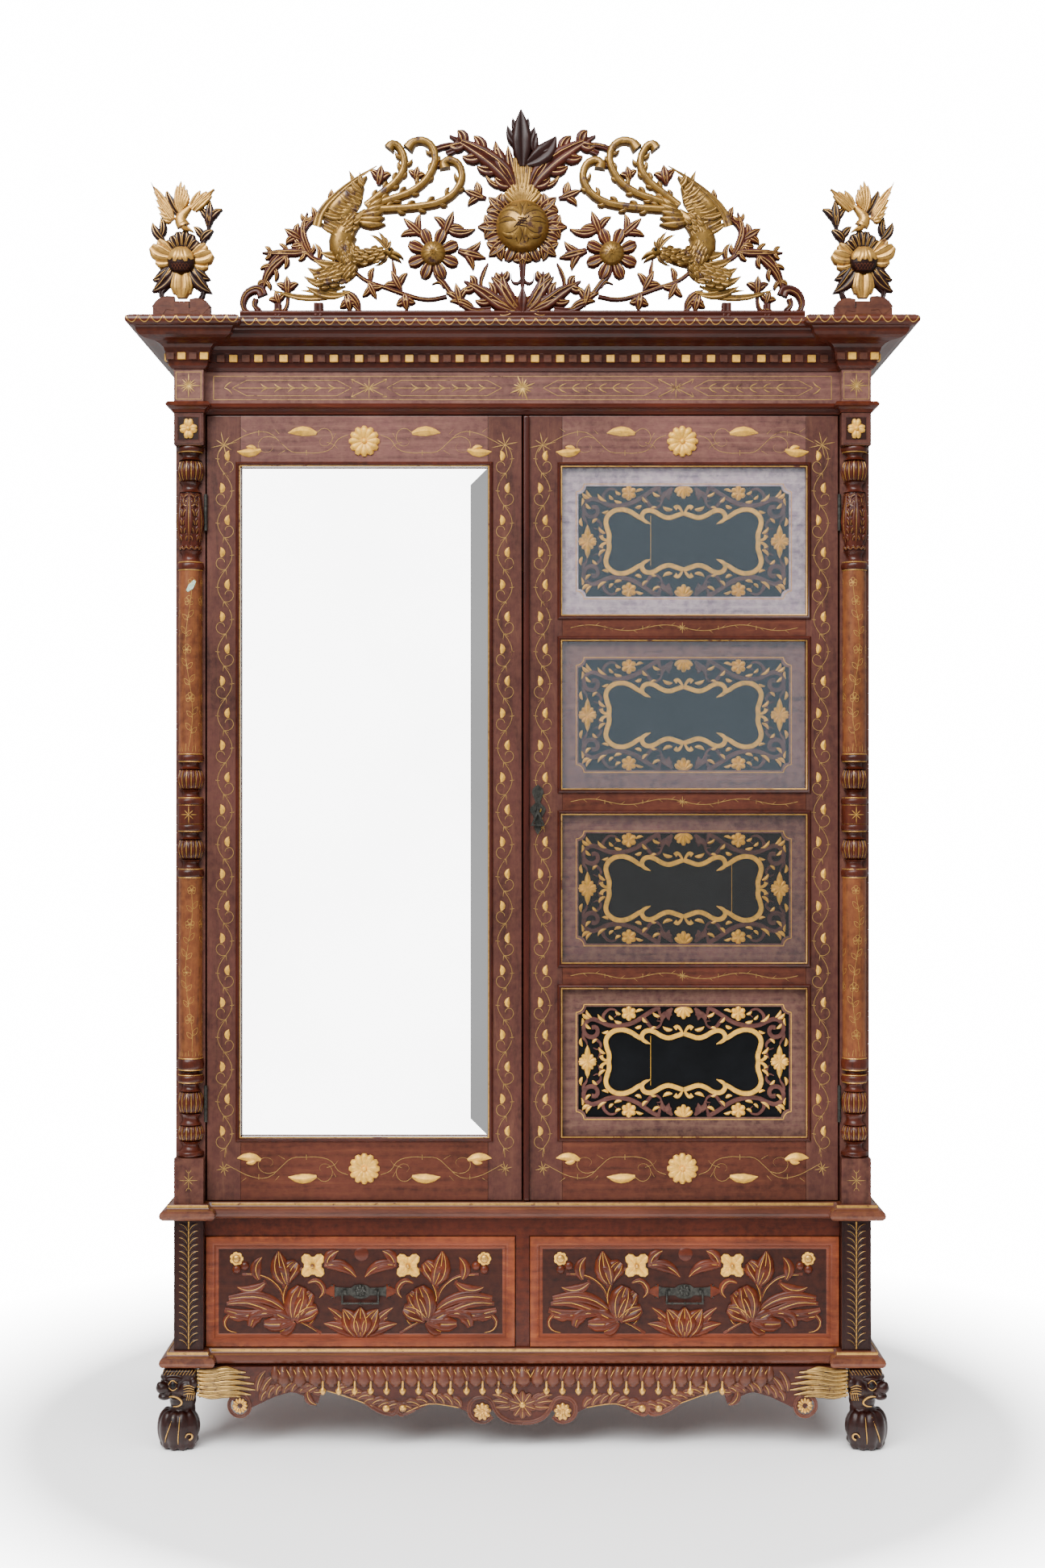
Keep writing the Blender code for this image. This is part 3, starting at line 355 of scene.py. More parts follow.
def makeGlass(name):
    material, tree, shader, where = startMaterial(name)
    haze = addNode(tree, "ShaderNodeTexNoise", [("Vector", where)], Scale=3.0, Detail=4.0)
    tree.links.new(ramp(tree, haze.outputs["Fac"], [(0.4, grey(0.93)), (0.7, grey(1.0))]),
        shader.inputs["Base Color"])
    shader.inputs["Transmission Weight"].default_value = 1.0
    shader.inputs["Roughness"].default_value = 0.0
    shader.inputs["IOR"].default_value = 1.48
    return material


def makeMirror(name):
    material, tree, shader, where = startMaterial(name)
    age = addNode(tree, "ShaderNodeTexNoise", [("Vector", where)], Scale=2.2, Detail=5.0)
    tree.links.new(ramp(tree, age.outputs["Fac"], [(0.35, grey(0.86)), (0.6, grey(0.94))]),
        shader.inputs["Base Color"])
    shader.inputs["Metallic"].default_value = 1.0
    shader.inputs["Roughness"].default_value = 0.015
    return material


print("materials")
purple = (1.36, 2.0, 2.9)      # the doors are a little cooler
warm = (1.20, 0.95, 0.74)      # mouldings are rubbed warmer
looks = {
    "stile": makeWood("stilePolish", "z", purple),
    "rail": makeWood("railPolish", "x", (1.42, 1.60, 1.75)),
    "highRail": makeWood("highRailPolish", "x", (2.4, 4.3, 7.0)),
    "plank": makeWood("plankPolish", "z", (0.95, 0.95, 0.95)),
    "bead": makeWood("beadPolish", "z", (0.80, 0.55, 0.52), 0.28, 0.5),
    "moulding": makeWood("mouldingPolish", "x", warm, 0.30, 0.45),
    "waist": makeWood("waistPolish", "x", (1.85, 2.3, 2.2), 0.30, 0.45),
    "face": makeWood("facePolish", "x", (0.96, 0.62, 0.38), 0.32, 0.25),
    "drawer": makeWood("drawerPolish", "x", (0.48, 0.38, 0.31), 0.42, 0.1),
    "drawerEdge": makeWood("drawerEdgePolish", "x", (2.9, 2.7, 1.75), 0.34, 0.35),
    "drawerLeaf": makeWood("drawerLeafPolish", "x", (1.5, 1.1, 0.62), 0.34, 0.35, True),
    "shaft": makeWood("shaftPolish", "z", (2.6, 3.4, 2.4), 0.32, 0.35),
    "turned": makeWood("turnedPolish", "z", (1.05, 0.80, 0.60), 0.30, 0.45, True),
    "carved": makeWood("carvedPolish", "x", (1.42, 1.8, 1.9), 0.36, 0.3, True),
    "crestWood": makeWood("crestPolish", "x", (0.92, 0.62, 0.40), 0.36, 0.3, True),
    "apronGround": makeWood("apronGroundPolish", "x", (0.72, 0.52, 0.42), 0.36, 0.3, True),
    "darkCarved": makeWood("darkCarvedPolish", "z", (0.28, 0.19, 0.17), 0.36, 0.3, True),
    "fret": makeWood("fretMauve", "x", (1.60, 2.60, 4.2), 0.5, 0.1, True),
    "fretBoard": makeWood("fretBoardMauve", "x", (3.1, 6.0, 10.5), 0.5, 0.15),
    # a pale bluish board: a painted reflection of light on the panel's glass, laid over the mauve
    "fretPaintedReflection": makeWood("fretBoardPaintedReflection", "x", (8.6, 27.0, 62.0), 0.5, 0.15),
    "fretDusty": makeWood("fretDustyBoard", "x", (1.75, 3.4, 5.4), 0.62, 0.0),
    "inner": makeWood("plainInside", "x", (2.8, 4.2, 4.6), 0.6, 0.0),
    "gilt": makeGilt("goldLeaf", (0.70, 0.38, 0.085), (0.11, 0.034, 0.013)),
    "crestGilt": makeGilt("crestGoldLeaf", (0.36, 0.20, 0.045), (0.055, 0.017, 0.007), 0.42, 0.7, 0.34),
    "oldGilt": makeGilt("oldGoldLeaf", (0.60, 0.36, 0.10), (0.09, 0.032, 0.014), 0.40, 0.6, 0.36),
    "brightGilt": makeGilt("brightGoldLeaf", (1.0, 0.53, 0.065), (0.45, 0.13, 0.02), 0.30, 0.15, 0.44),
    "iron": makePlain("blackIron", (0.045, 0.044, 0.038), 0.44, 0.7, 0.5, 160.0),
    "black": makePlain("blackBoard", (0.0045, 0.005, 0.006), 0.32, 0.0, 0.3, 12.0, 0.0, 0.15),
    "glass": makeGlass("windowGlass"),
    "mirror": makeMirror("silveredPlate"),
}

nodeLooks = {
    "apron_front": "apronGround", "apron_left": "moulding", "apron_right": "moulding",
    "base_moulding": "waist", "waist_moulding": "waist",
    "top_moulding": "moulding", "cornice": "moulding", "frieze_frame": "highRail", "face_frame": "face",
    "side_panel_left": "plank", "side_panel_right": "plank", "case_side_left": "plank",
    "case_side_right": "plank",
    "post_left": "stile", "post_right": "stile", "back_panel": "inner", "case_back": "inner",
    "hat_shelf": "inner",
    "hanging_rail": "inner", "drawer_tray_left": "inner", "drawer_tray_right": "inner",
    "mirror_backboard": "inner",
    "right_door_backboard": "black", "mirror_plate": "mirror",
}
for nodeName, obj in nodes.items():
    if nodeName.startswith("glass_pane"):
        dress(obj, "glass")
    elif nodeName.startswith(("hinge", "drawer_bail", "door_drop", "drawer_pull", "door_pull")):
        dress(obj, "iron")
    elif nodeName.startswith("leg"):
        dress(obj, "darkCarved")
    else:
        dress(obj, nodeLooks.get(nodeName, "stile"))


# carving: every leaf, stem and feather is a stroke, a bevelled curve whose width swells and tapers
print("carving tools")
widthShapes = {
    "stem": (1.0, 1.0),
    "taper": (1.0, 0.85, 0.55, 0.15),
    "swell": (0.3, 0.8, 1.0, 0.8, 0.3),
    "leaf": (0.30, 0.85, 1.0, 0.70, 0.08),
    "petal": (0.40, 0.75, 1.0, 1.0, 0.45),
    "lobe": (0.55, 0.95, 0.85, 0.10),
    "curl": (0.45, 0.75, 0.95, 1.25),
    "bud": (0.35, 1.0, 0.9, 0.12),
}
sections = {  # across and up, for a half width of one
    "hollow": [(-1, 0), (-0.82, 0.34), (-0.45, 0.42), (0, 0.14), (0.45, 0.42), (0.82, 0.34), (1, 0)],
    "ridge": [(-1, 0), (-0.6, 0.42), (0, 0.75), (0.6, 0.42), (1, 0)],
    "round": [(-1, 0), (-0.8, 0.5), (-0.35, 0.82), (0.35, 0.82), (0.8, 0.5), (1, 0)],
    "flat": [(-1, 0), (-0.8, 0.3), (0.8, 0.3), (1, 0)],
    "vein": [(-1, -0.5), (-0.6, 0.5), (0.6, 0.5), (1, -0.5)],
}


def stroke(points, width, shape="stem", lift=0.0):
    values = widthShapes[shape]
    widths = []
    for i in range(len(points)):
        at = i / (len(points) - 1) * (len(values) - 1)
        low = min(int(at), len(values) - 2)
        widths.append(width * (values[low] + (values[low + 1] - values[low]) * (at - low)))
    return {"points": list(points), "widths": widths, "lifts": [lift] * len(points)}


def arc(a, b, bow):
    # points from a to b, bowed to the left by a share of the length
    dx, dz = b[0] - a[0], b[1] - a[1]
    points = []
    for i in range(5):
        t = i / 4
        push = 4 * bow * t * (1 - t)
        points.append((a[0] + dx * t - dz * push, a[1] + dz * t + dx * push))
    return points


def along(path, share):
    # the point and direction at a share of a path's length
    lengths = [math.dist(path[i], path[i + 1]) for i in range(len(path) - 1)]
    left = share * sum(lengths)
    for i, length in enumerate(lengths):
        if left <= length or i == len(lengths) - 1:
            t = left / length
            a, b = path[i], path[i + 1]
            point = (a[0] + (b[0] - a[0]) * t, a[1] + (b[1] - a[1]) * t)
            return point, math.atan2(b[1] - a[1], b[0] - a[0])
        left -= length


def stepped(point, angle, distance):
    return (point[0] + math.cos(angle) * distance, point[1] + math.sin(angle) * distance)


def leaflet(base, tip, width, bow=0.0, lift=0.0, shape="leaf"):
    return stroke(arc(base, tip, bow), width, shape, lift)


def drawn(*rows):
    return [stroke(*row) for row in rows]


def leaflets(*rows):
    return [leaflet(*row) for row in rows]


def trefoil(base, tip, width, spread):
    # a centre leaf with one shorter leaf on each side
    length = math.dist(base, tip)
    angle = math.atan2(tip[1] - base[1], tip[0] - base[0])
    start = stepped(base, angle, length * 0.18)
    parts = [leaflet(base, tip, width, 0, 0.4)]
    for side in (-1, 1):
        end = stepped(start, angle + side * math.radians(spread), length * 0.72)
        parts.append(leaflet(start, end, width * 0.85, -side * 0.14))
    return parts


def frond(path, width, pairs, reach, spread, lift=0.0):
    # a long leaf with lobes that point forward on both sides
    parts = []
    for i in range(pairs):
        share = 0.10 + 0.72 * i / max(1, pairs - 1)
        length = reach * (0.72 + 0.5 * math.sin(math.pi * (share + 0.12)))
        for side in (-1, 1):
            point, angle = along(path, share)
            tip = stepped(point, angle + side * math.radians(spread), length)
            parts.append(leaflet(point, tip, width * 0.62, side * 0.16, lift, "lobe"))
    parts.append(stroke(path, width, "leaf", lift + 0.6))
    return parts


def blossom(centre, inner, outer, count, width, turn=0.0, lift=0.0, shape="petal"):
    parts = []
    for i in range(count):
        angle = math.radians(turn) + 2 * math.pi * i / count
        ends = stepped(centre, angle, inner), stepped(centre, angle, outer)
        parts.append(leaflet(*ends, width, 0, lift + 0.3 * (i % 2), shape))
    return parts


def fan(roots, tips, count, width, bow=0.0, shape="petal", lift=0.0, climb=0.0):
    # feathers between two root points and two tip points; roots and tips may be paths
    parts = []
    for i in range(count):
        share = i / (count - 1)
        root, tip = along(roots, share)[0], along(tips, share)[0]
        parts.append(leaflet(root, tip, width, bow, lift + climb * i, shape))
    return parts


def scales(path, halfWidth, rows, size):
    # overlapping scales laid over a round stroke along the same path
    parts = []
    for row in range(rows):
        share = 0.06 + 0.88 * row / (rows - 1)
        point, angle = along(path, share)
        for across in ((-0.66, 0.0, 0.66) if row % 2 else (-0.36, 0.36)):
            root = stepped(point, angle + math.pi / 2, across * halfWidth)
            tip = stepped(root, angle + math.pi + across * 0.35, size)
            rise = heightAt("round", across) * halfWidth
            item = leaflet(root, tip, size * 0.42, 0, rise, "petal")
            item["lifts"] = [rise - 1.2 + 1.6 * i / 4 for i in range(5)]
            parts.append(item)
    return parts


def heightAt(section, across):
    points = sections[section]
    for (x0, y0), (x1, y1) in zip(points, points[1:]):
        if x0 <= across <= x1:
            return y0 + (y1 - y0) * (across - x0) / (x1 - x0)
    return 0.0


def veins(strokes, section, width=0.7, shares=(0.0,), smallest=1.5, raised=0.0):
    # thin lines that run along strokes at shares of their half width
    lines = []
    for item in strokes:
        points, widths, lifts = item["points"], item["widths"], item["lifts"]
        if max(widths) < smallest:
            continue
        for share in shares:
            path, rises = [], []
            for i, (x, z) in enumerate(points):
                before, after = points[max(0, i - 1)], points[min(len(points) - 1, i + 1)]
                angle = math.atan2(after[1] - before[1], after[0] - before[0]) + math.pi / 2
                path.append(stepped((x, z), angle, share * widths[i]))
                rises.append(lifts[i] + heightAt(section, share) * widths[i] + raised)
            ends = (0.35, 0.75) if share else (0.12, 0.9)
            path[0] = tuple(a + (b - a) * ends[0] for a, b in zip(path[0], path[1]))
            path[-1] = tuple(a + (b - a) * ends[1] for a, b in zip(path[-2], path[-1]))
            rises[0] += (rises[1] - rises[0]) * ends[0]
            rises[-1] = rises[-2] + (rises[-1] - rises[-2]) * ends[1]
            line = stroke(path, width, "swell")
            line["lifts"] = rises
            lines.append(line)
    return lines


def flipped(strokes, across=-1, up=1):
    return [dict(item, points=[(x * across, z * up) for x, z in item["points"]]) for item in strokes]


def shifted(strokes, x, z, lift=0.0):
    return [dict(item, points=[(a + x, b + z) for a, b in item["points"]],
        lifts=[v + lift for v in item["lifts"]])
            for item in strokes]


def added(name, data):
    obj = bpy.data.objects.new(name, data)
    bpy.context.scene.collection.objects.link(obj)
    return obj


def newCurve(name, dimensions, **settings):
    curve = bpy.data.curves.new(name, "CURVE")
    curve.dimensions = dimensions
    for key, value in settings.items():
        setattr(curve, key, value)
    return curve


def polyline(curve, points):
    # a closed straight-sided run through flat points
    spline = curve.splines.new("POLY")
    spline.points.add(len(points) - 1)
    spline.use_cyclic_u = True
    for target, (x, y) in zip(spline.points, points):
        target.co = (x, y, 0, 1)


def sweptCurve(name, ring, **settings):
    # a curve that carries the closed outline given as its section, and that section's object
    outline = newCurve(name + "Section", "2D")
    polyline(outline, ring)
    section = added(name + "Section", outline)
    return newCurve(name, "3D", twist_mode="Z_UP", bevel_mode="OBJECT", bevel_object=section,
        **settings), section


def weld(threshold):
    # joins the active mesh where its points meet and turns its faces outward
    bpy.ops.object.mode_set(mode="EDIT")
    bpy.ops.mesh.select_all(action="SELECT")
    bpy.ops.mesh.remove_doubles(threshold=threshold)
    bpy.ops.mesh.normals_make_consistent(inside=False)
    bpy.ops.object.mode_set(mode="OBJECT")


def swept(name, curve, section):
    # the mesh of a swept curve, still lying flat
    obj = added(name, curve)
    pick(obj)
    bpy.ops.object.convert(target="MESH")
    bpy.data.objects.remove(section)
    return obj


def stood(obj, origin, smooth, look):
    # a flat mesh is turned upright to face the front
    weld(0.000004)
    obj.rotation_euler = (math.pi / 2, 0, 0)
    obj.location = origin
    bpy.ops.object.transform_apply()
    bpy.ops.object.shade_smooth_by_angle(angle=math.radians(smooth))
    return dress(obj, look)


def carve(name, strokes, sectionName, look, origin, depth=0.0, rise=None, fineness=3):
    # strokes in millimetres on an upright plane through origin that faces the front
    ring = list(sections[sectionName])
    if depth:
        ring += [(1, -30), (-1, -30)]
    ring = [(x * mm, y * mm) for x, y in ring]
    curve, section = sweptCurve(name, ring, resolution_u=fineness, use_fill_caps=True)
    for item in strokes:
        spline = curve.splines.new("BEZIER")
        spline.bezier_points.add(len(item["points"]) - 1)
        for target, (x, z), width, lift in zip(spline.bezier_points, item["points"], item["widths"],
                item["lifts"]):
            target.co = (x * mm, z * mm, lift * mm)
            target.handle_left_type = target.handle_right_type = "AUTO"
            target.radius = width
    obj = swept(name, curve, section)
    for vertex in obj.data.vertices:
        if depth and vertex.co.z < -0.6 * mm:
            vertex.co.z = -depth
        elif rise:
            vertex.co.z += rise(vertex.co.x, vertex.co.y)
    return stood(obj, origin, 50, look)


def dome(centreX, centreZ, radius, squash=1.0):
    # the rise of a ball's front over a flat plane, in metres
    def rise(x, z):
        spare = radius ** 2 - (x - centreX) ** 2 - (z - centreZ) ** 2
        return squash * math.sqrt(max(0.0, spare))
    return rise


def moulding(name, x0, z0, x1, z1, y, profile, look):
    # a mitred moulding inside the rectangle's lines; profile is (inward, forward) in millimetres
    ring = [(-inward * mm * math.sqrt(2), forward * mm) for inward, forward in profile]
    curve, section = sweptCurve(name, ring)
    polyline(curve, [(x0, z0), (x1, z0), (x1, z1), (x0, z1)])
    return stood(swept(name, curve, section), (0, y, 0), 35, look)


# the pierced crest: measures are millimetres from its centre line and its foot
print("crest")
crest = {
    "thickness": 0.016,     # board behind the modelled fronts
    "ballAt": (0, 182),
    "flowerAt": (171, 130),
}


def crestVines():
    # brown stems and leaves of one half
    stems = drawn(
        ([(541, 12), (300, 12), (0, 12)], 9.5),
        ([(520, 14), (534, 26), (533, 46), (519, 60), (502, 60), (498, 50)], 8.5, "curl"),
        ([(505, 22), (514, 32), (511, 44)], 5),
        # stem from the foot palmette to the side flower
        ([(60, 24), (98, 24), (132, 50), (150, 74), (166, 92), (168, 108)], 5),
        ([(145, 49), (182, 43), (225, 53), (262, 66), (300, 80), (322, 98), (330, 112)], 3.4),
        ([(150, 66), (160, 76), (174, 72)], 2.4, "taper"),
        # outer vine, up behind the bird and down to the volute
        ([(330, 112), (386, 116), (413, 132), (422, 158), (412, 186), (391, 202)], 4.2),
        ([(413, 134), (455, 134), (478, 118), (492, 92), (498, 66)], 4.4),
        ([(391, 10), (391, 36)], 9, "stem"),
        ([(469, 10), (469, 34)], 7, "stem"),
        ([(450, 50), (452, 30), (462, 14)], 3.2),
        ([(305, 14), (322, 30), (338, 52)], 4, "taper"),
        # links between the tail plumes and the tall leaves
        ([(145, 322), (128, 334), (150, 336), (168, 330)], 5.5),
        ([(140, 300), (166, 300)], 5),
        ([(70, 236), (84, 243), (100, 250)], 3.6),
        ([(122, 138), (100, 134), (82, 130)], 3.6),
        ([(186, 160), (194, 168)], 4),
        ([(152, 162), (144, 176)], 4),
        ([(66, 112), (74, 96), (80, 74), (76, 62)], 4.6, "swell"),
        ([(250, 122), (246, 100), (242, 76)], 4.2, "swell"),
    )
    leaves = []
    leaves += trefoil((188, 162), (228, 198), 8.5, 48)
    leaves += trefoil((150, 166), (132, 212), 9, 62)
    leaves += [leaflet((146, 178), (90, 178), 8.5, 0.14)]
    leaves += trefoil((124, 136), (70, 122), 9, 46)
    leaves += trefoil((72, 236), (112, 252), 8, 55)
    leaves += [leaflet((84, 240), (88, 268), 7, 0.1)]
    leaves += trefoil((232, 60), (252, 98), 8, 58)
    leaves += trefoil((226, 54), (222, 22), 9.5, 55)
    leaves += trefoil((296, 76), (280, 44), 7, 60)
    leaves += [leaflet((290, 78), (284, 104), 6, -0.16)]
    leaves += trefoil((338, 52), (330, 20), 9, 50) + [leaflet((312, 24), (346, 60), 8.5, 0.12)]
    leaves += trefoil((466, 34), (474, 60), 7, 62) + [leaflet((458, 22), (480, 20), 6)]
    leaves += trefoil((450, 52), (451, 88), 8.5, 55)
    leaves += trefoil((118, 30), (128, 74), 8.5, 44) + [leaflet((92, 24), (140, 40), 7.5, 0.12)]
    leaves += frond([(408, 134), (436, 132), (468, 132), (499, 132)], 8, 3, 20, 46)
    leaves += frond([(446, 130), (470, 112), (488, 90), (497, 62)], 9, 3, 22, 44)
    leaves += frond([(402, 122), (414, 148), (421, 176), (412, 210)], 8, 2, 19, 40)
    leaves += trefoil((424, 158), (456, 178), 9, 60) + trefoil((420, 148), (444, 144), 7, 60)
    leaves += leaflets(((398, 196), (404, 220), 6.5, 0.1), ((392, 118), (398, 150), 5.5, 0.2))
    leaves += trefoil((276, 262), (270, 300), 10, 48)
    leaves += trefoil((206, 272), (200, 298), 7.5, 60)
    leaves += [leaflet((372, 232), (366, 254), 6, 0.1)]
    # tall leaves beside the top spray
    leaves += frond([(12, 248), (34, 284), (76, 320), (140, 356)], 21, 4, 34, 36)
    leaves += leaflets(((22, 272), (52, 346), 13, -0.08, 0.8), ((12, 262), (28, 338), 10, -0.04),
        ((24, 262), (72, 282), 6, -0.2))
    # foot palmette
    leaves += frond([(4, 18), (24, 40), (36, 66), (40, 96)], 15, 2, 24, 34)
    leaves += frond([(8, 18), (44, 34), (74, 56), (112, 78)], 15, 3, 28, 40)
    leaves += leaflets(((12, 20), (76, 46), 12, 0.1, 0.4), ((10, 20), (60, 86), 13, 0.05, 0.8))
    return stems, leaves


def crestBird():
    # a long-tailed bird: fat strokes for the body, then scales and feathers over them
    body = drawn(
        ([(342, 166), (348, 142), (330, 124), (304, 122), (276, 128), (256, 134)], 25, "taper"),
        ([(344, 150), (334, 120), (330, 96), (350, 76)], 23, "taper"),
        ([(350, 156), (334, 180), (316, 196), (300, 214)], 22, "taper", 1),
        ([(266, 132), (252, 132), (244, 128)], 10.5, "bud", 4),
        ([(252, 132), (238, 128), (228, 120)], 4.8, "taper", 6),
        ([(252, 126), (240, 120), (232, 114)], 3.8, "taper", 4),
    )
    body += drawn(([(376, 184), (358, 216), (328, 248), (298, 278)], 20, "leaf", 2),
             ([(350, 172), (340, 204), (320, 234), (304, 258)], 17, "leaf", 2))
    plumage = scales([(268, 128), (304, 122), (332, 128), (346, 152), (334, 180), (308, 204)], 21, 15, 14)
    plumage += scales([(340, 128), (330, 100), (352, 76)], 21, 8, 15)
    # crest on the head and ruff round the neck
    plumage += [leaflet((262, 136), tip, 4.2, 0.12, 9)
        for tip in ((276, 170), (262, 160), (252, 154), (292, 164))]
    plumage += [leaflet((258, 124), tip, 3.6, -0.12, 7) for tip in ((272, 108), (284, 104))]
    # lower wing: scales at the root, long feathers at the rim
    wing = fan([(338, 128), (356, 84), (340, 50)], [(386, 132), (420, 92), (414, 66)], 5, 9.5, -0.10,
        "leaf", 3, 0.6)
    wing += [stroke([(330, 56), (380, 46), (430, 46), (480, 60)], 8, "leaf", 3)]
    wing += [stroke([(338, 66), (376, 56), (424, 58)], 8, "leaf", 5)]
    plumage += scales([(384, 78), (360, 84), (338, 92)], 26, 6, 17)
    # upper wing: a long leading edge with feathers that hang from it
    edge = [(393, 178), (384, 206), (354, 240), (316, 270), (278, 294)]
    wing += fan([(388, 186), (372, 222), (334, 256)], [(340, 168), (322, 190), (306, 232)], 8, 8, 0.08,
        "petal", 8, 0.5)
    wing += fan([(384, 206), (356, 240), (312, 274)], [(346, 196), (330, 216), (302, 256)], 7, 6.5, 0.08,
        "petal", 13, 0.4)
    wing += [stroke(edge, 8.5, "taper", 14)]
    wing += leaflets(((328, 224), (332, 288), 7, 0.12, 4), ((322, 232), (312, 286), 6, 0.14, 4))
    # tail base and three long plumes with curled ends
    tail = fan([(318, 190), (296, 216)], [(262, 186), (266, 236)], 5, 8, 0.06, "leaf", 5, 0.6)
    plumes = [
        [(300, 222), (262, 252), (238, 274), (226, 302), (234, 330), (248, 340), (256, 330)],
        [(296, 220), (252, 234), (204, 254), (174, 288), (168, 322), (184, 344), (208, 344), (220, 330)],
        [(292, 214), (246, 216), (198, 220), (150, 232), (120, 262), (118, 292), (134, 308), (150, 304),
            (148, 292)],
    ]
    for number, path in enumerate(plumes):
        tail.append(stroke(path, 7.2, "stem", 2 + number))
        for i in range(9):
            share = 0.12 + 0.60 * i / 8
            point, angle = along(path, share)
            side = 1 if i % 2 else -1
            tip = stepped(point, angle + side * math.radians(34), 19)
            tail.append(leaflet(point, tip, 4.4, side * 0.2, 2 + number, "lobe"))
        tail.append(stroke(path[-3:], 8.5, "curl", 4 + number))
    return body, plumage, wing, tail


def crestTopSpray():
    # the dark leaf that crowns the crest, with its second lobe to one side
    dark = leaflets(((0, 296), (-3, 404), 20, 0, 6), ((8, 300), (64, 353), 20, -0.10, 5))
    dark += leaflets(((-2, 330), (-29, 374), 9, 0.10, 5), ((0, 334), (23, 371), 9, -0.10, 5))
    dark += leaflets(((-3, 356), (-19, 388), 7, 0.08, 6.5), ((-2, 356), (11, 388), 7, -0.08, 6.5))
    dark += leaflets(((24, 322), (28, 360), 9, 0.10, 5.5), ((30, 322), (58, 334), 10, 0.05, 5.5))
    return dark


